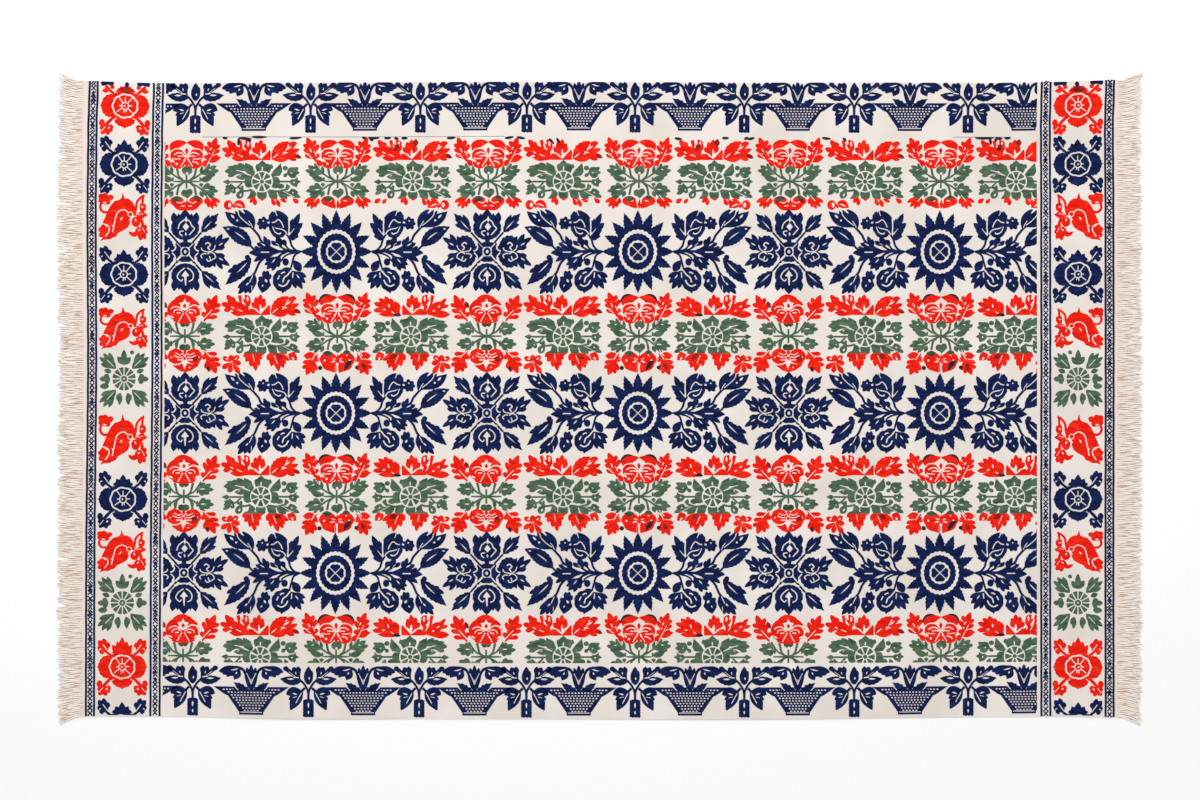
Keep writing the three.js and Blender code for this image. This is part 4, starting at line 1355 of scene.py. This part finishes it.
def cotton_yarn():
    """Soft plied cotton: matt, slightly fuzzy, cream, with long tan streaks of painted shade that stand in
    for the shadow in its creases.
    """
    material, tree, shader, place = matt_fibre("plied_cotton_yarn", 1.53, 0.95, 0.2)
    # The tan streaks are painted shade: the shadow between the yarns, laid on at random.
    streaks = add(tree, "Mapping", {}, {"Vector": place, "Scale": (42.0, 380.0, 60.0)})
    noise = add(tree, "TexNoise", {}, {"Vector": streaks.outputs["Vector"], "Scale": 1.0, "Detail": 2.0})
    tones = add(tree, "ValToRGB", {}, {"Fac": noise.outputs["Fac"]})
    tones.color_ramp.elements[0].position = 0.33
    tones.color_ramp.elements[0].color = colour(YARN_PAINTED_SHADE)
    tones.color_ramp.elements[1].position = 0.47
    tones.color_ramp.elements[1].color = colour(YARN)
    tree.links.new(tones.outputs["Color"], shader.inputs["Base Color"])
    return material


def fringe(side, name, node):
    """One end's yarns, as rods along soft lines, grouped in tufts that sway together."""
    rng = random.Random(name)
    lines = bpy.data.curves.new(name, "CURVE")
    lines.dimensions = "3D"
    lines.bevel_depth = YARN_RADIUS / 1000
    lines.bevel_resolution = 1
    lines.use_fill_caps = True
    count = round((WIDTH - 2) / YARN_PITCH)
    sway = 0.0
    for i in range(count):
        y = -WIDTH / 2 + YARN_RADIUS + (WIDTH - 2 * YARN_RADIUS) * i / (count - 1)
        v = y / (WIDTH / 2)
        if i % TUFT == 0:
            sway = rng.uniform(-SWAY, SWAY)
            reach = rng.uniform(0.93, 1.0)
        edge = on_cloth(side * LENGTH / 2, y) * 1000
        flare = FLARE * abs(v) ** 9 * (1 if v > 0 else -1)
        long = FRINGE_LENGTH * reach * rng.uniform(0.88, 1.0)
        wobble, phase = rng.uniform(0.4, 1.7), rng.uniform(0, 6.28)
        high = rng.uniform(1.8, 3.0)
        spline = lines.splines.new("POLY")
        steps = 10
        spline.points.add(steps + 1)
        root = (edge.x - side * YARN_ROOT, edge.y, edge.z + THICK - 0.6)
        spline.points[0].co = (*(value / 1000 for value in root), 1)
        spline.points[0].radius = 0.8
        for k in range(steps + 1):
            t = k / steps
            px = edge.x + side * (-YARN_ROOT * 0.6 * (1 - t) ** 12 + long * t)
            py = edge.y + (sway + flare) * t**1.6 + wobble * math.sin(phase + 6.5 * t) * t**0.5
            py += rng.uniform(-0.15, 0.15)
            pz = YARN_RADIUS + (high - YARN_RADIUS) * math.sin(math.pi * min(1, t * 1.3)) ** 2
            pz = max(pz, YARN_RADIUS) + (THICK - 0.9) * (1 - t) ** 10
            spline.points[k + 1].co = (px / 1000, py / 1000, pz / 1000, 1)
            spline.points[k + 1].radius = 1.0 if t < 0.75 else 1.0 - 2.4 * (t - 0.75)
    rods = bpy.data.objects.new(name + "_lines", lines)
    bpy.context.scene.collection.objects.link(rods)
    mesh = bpy.data.meshes.new_from_object(rods)
    bpy.data.objects.remove(rods)
    mesh.name = name
    mesh.materials.clear()
    mesh.materials.append(cotton_yarn())
    piece = bpy.data.objects.new(name, mesh)
    bpy.context.scene.collection.objects.link(piece)
    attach(piece, "root")
    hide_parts(node)
    return piece


fringes = [
    fringe(-1, "yarn_fringe_left", "fringe_left"),
    fringe(1, "yarn_fringe_right", "fringe_right"),
]

# ---------------------------------------------------------------------------------------------
# The floor, the light and the camera: a plain pale floor under a broad soft studio light, seen
# from straight above.

floor_mesh = bmesh.new()
bmesh.ops.create_grid(floor_mesh, x_segments=1, y_segments=1, size=6)
pale = bpy.data.materials.new("pale_floor")
pale.use_nodes = True
pale.node_tree.nodes["Principled BSDF"].inputs["Base Color"].default_value = (0.95, 0.95, 0.95, 1)
pale.node_tree.nodes["Principled BSDF"].inputs["Roughness"].default_value = 1.0
floor = finish_piece("floor", floor_mesh, pale)

bpy.context.scene.view_settings.view_transform = "Standard"
world = bpy.data.worlds.new("studio")
world.use_nodes = True
world.node_tree.nodes["Background"].inputs["Color"].default_value = (1, 1, 1, 1)
world.node_tree.nodes["Background"].inputs["Strength"].default_value = 0.7
bpy.context.scene.world = world

for name, at, size, power in (("key", (-1.2, 2.0, 3.2), 2.5, 60), ("fill", (1.5, 1.0, 3.2), 3.0, 25)):
    lamp = bpy.data.lights.new(name, "AREA")
    lamp.size = size
    lamp.energy = power
    light = bpy.data.objects.new(name, lamp)
    light.location = at
    light.rotation_euler = (-Vector(at)).to_track_quat("-Z", "Y").to_euler()
    bpy.context.scene.collection.objects.link(light)

VIEW_WIDTH = 2.3808
VIEW_LENS = 85
lens = bpy.data.cameras.new("camera")
lens.lens = VIEW_LENS
lens.clip_end = 50
camera = bpy.data.objects.new("camera", lens)
camera.location = (0, 0, VIEW_WIDTH * VIEW_LENS / lens.sensor_width)
bpy.context.scene.collection.objects.link(camera)
bpy.context.scene.camera = camera
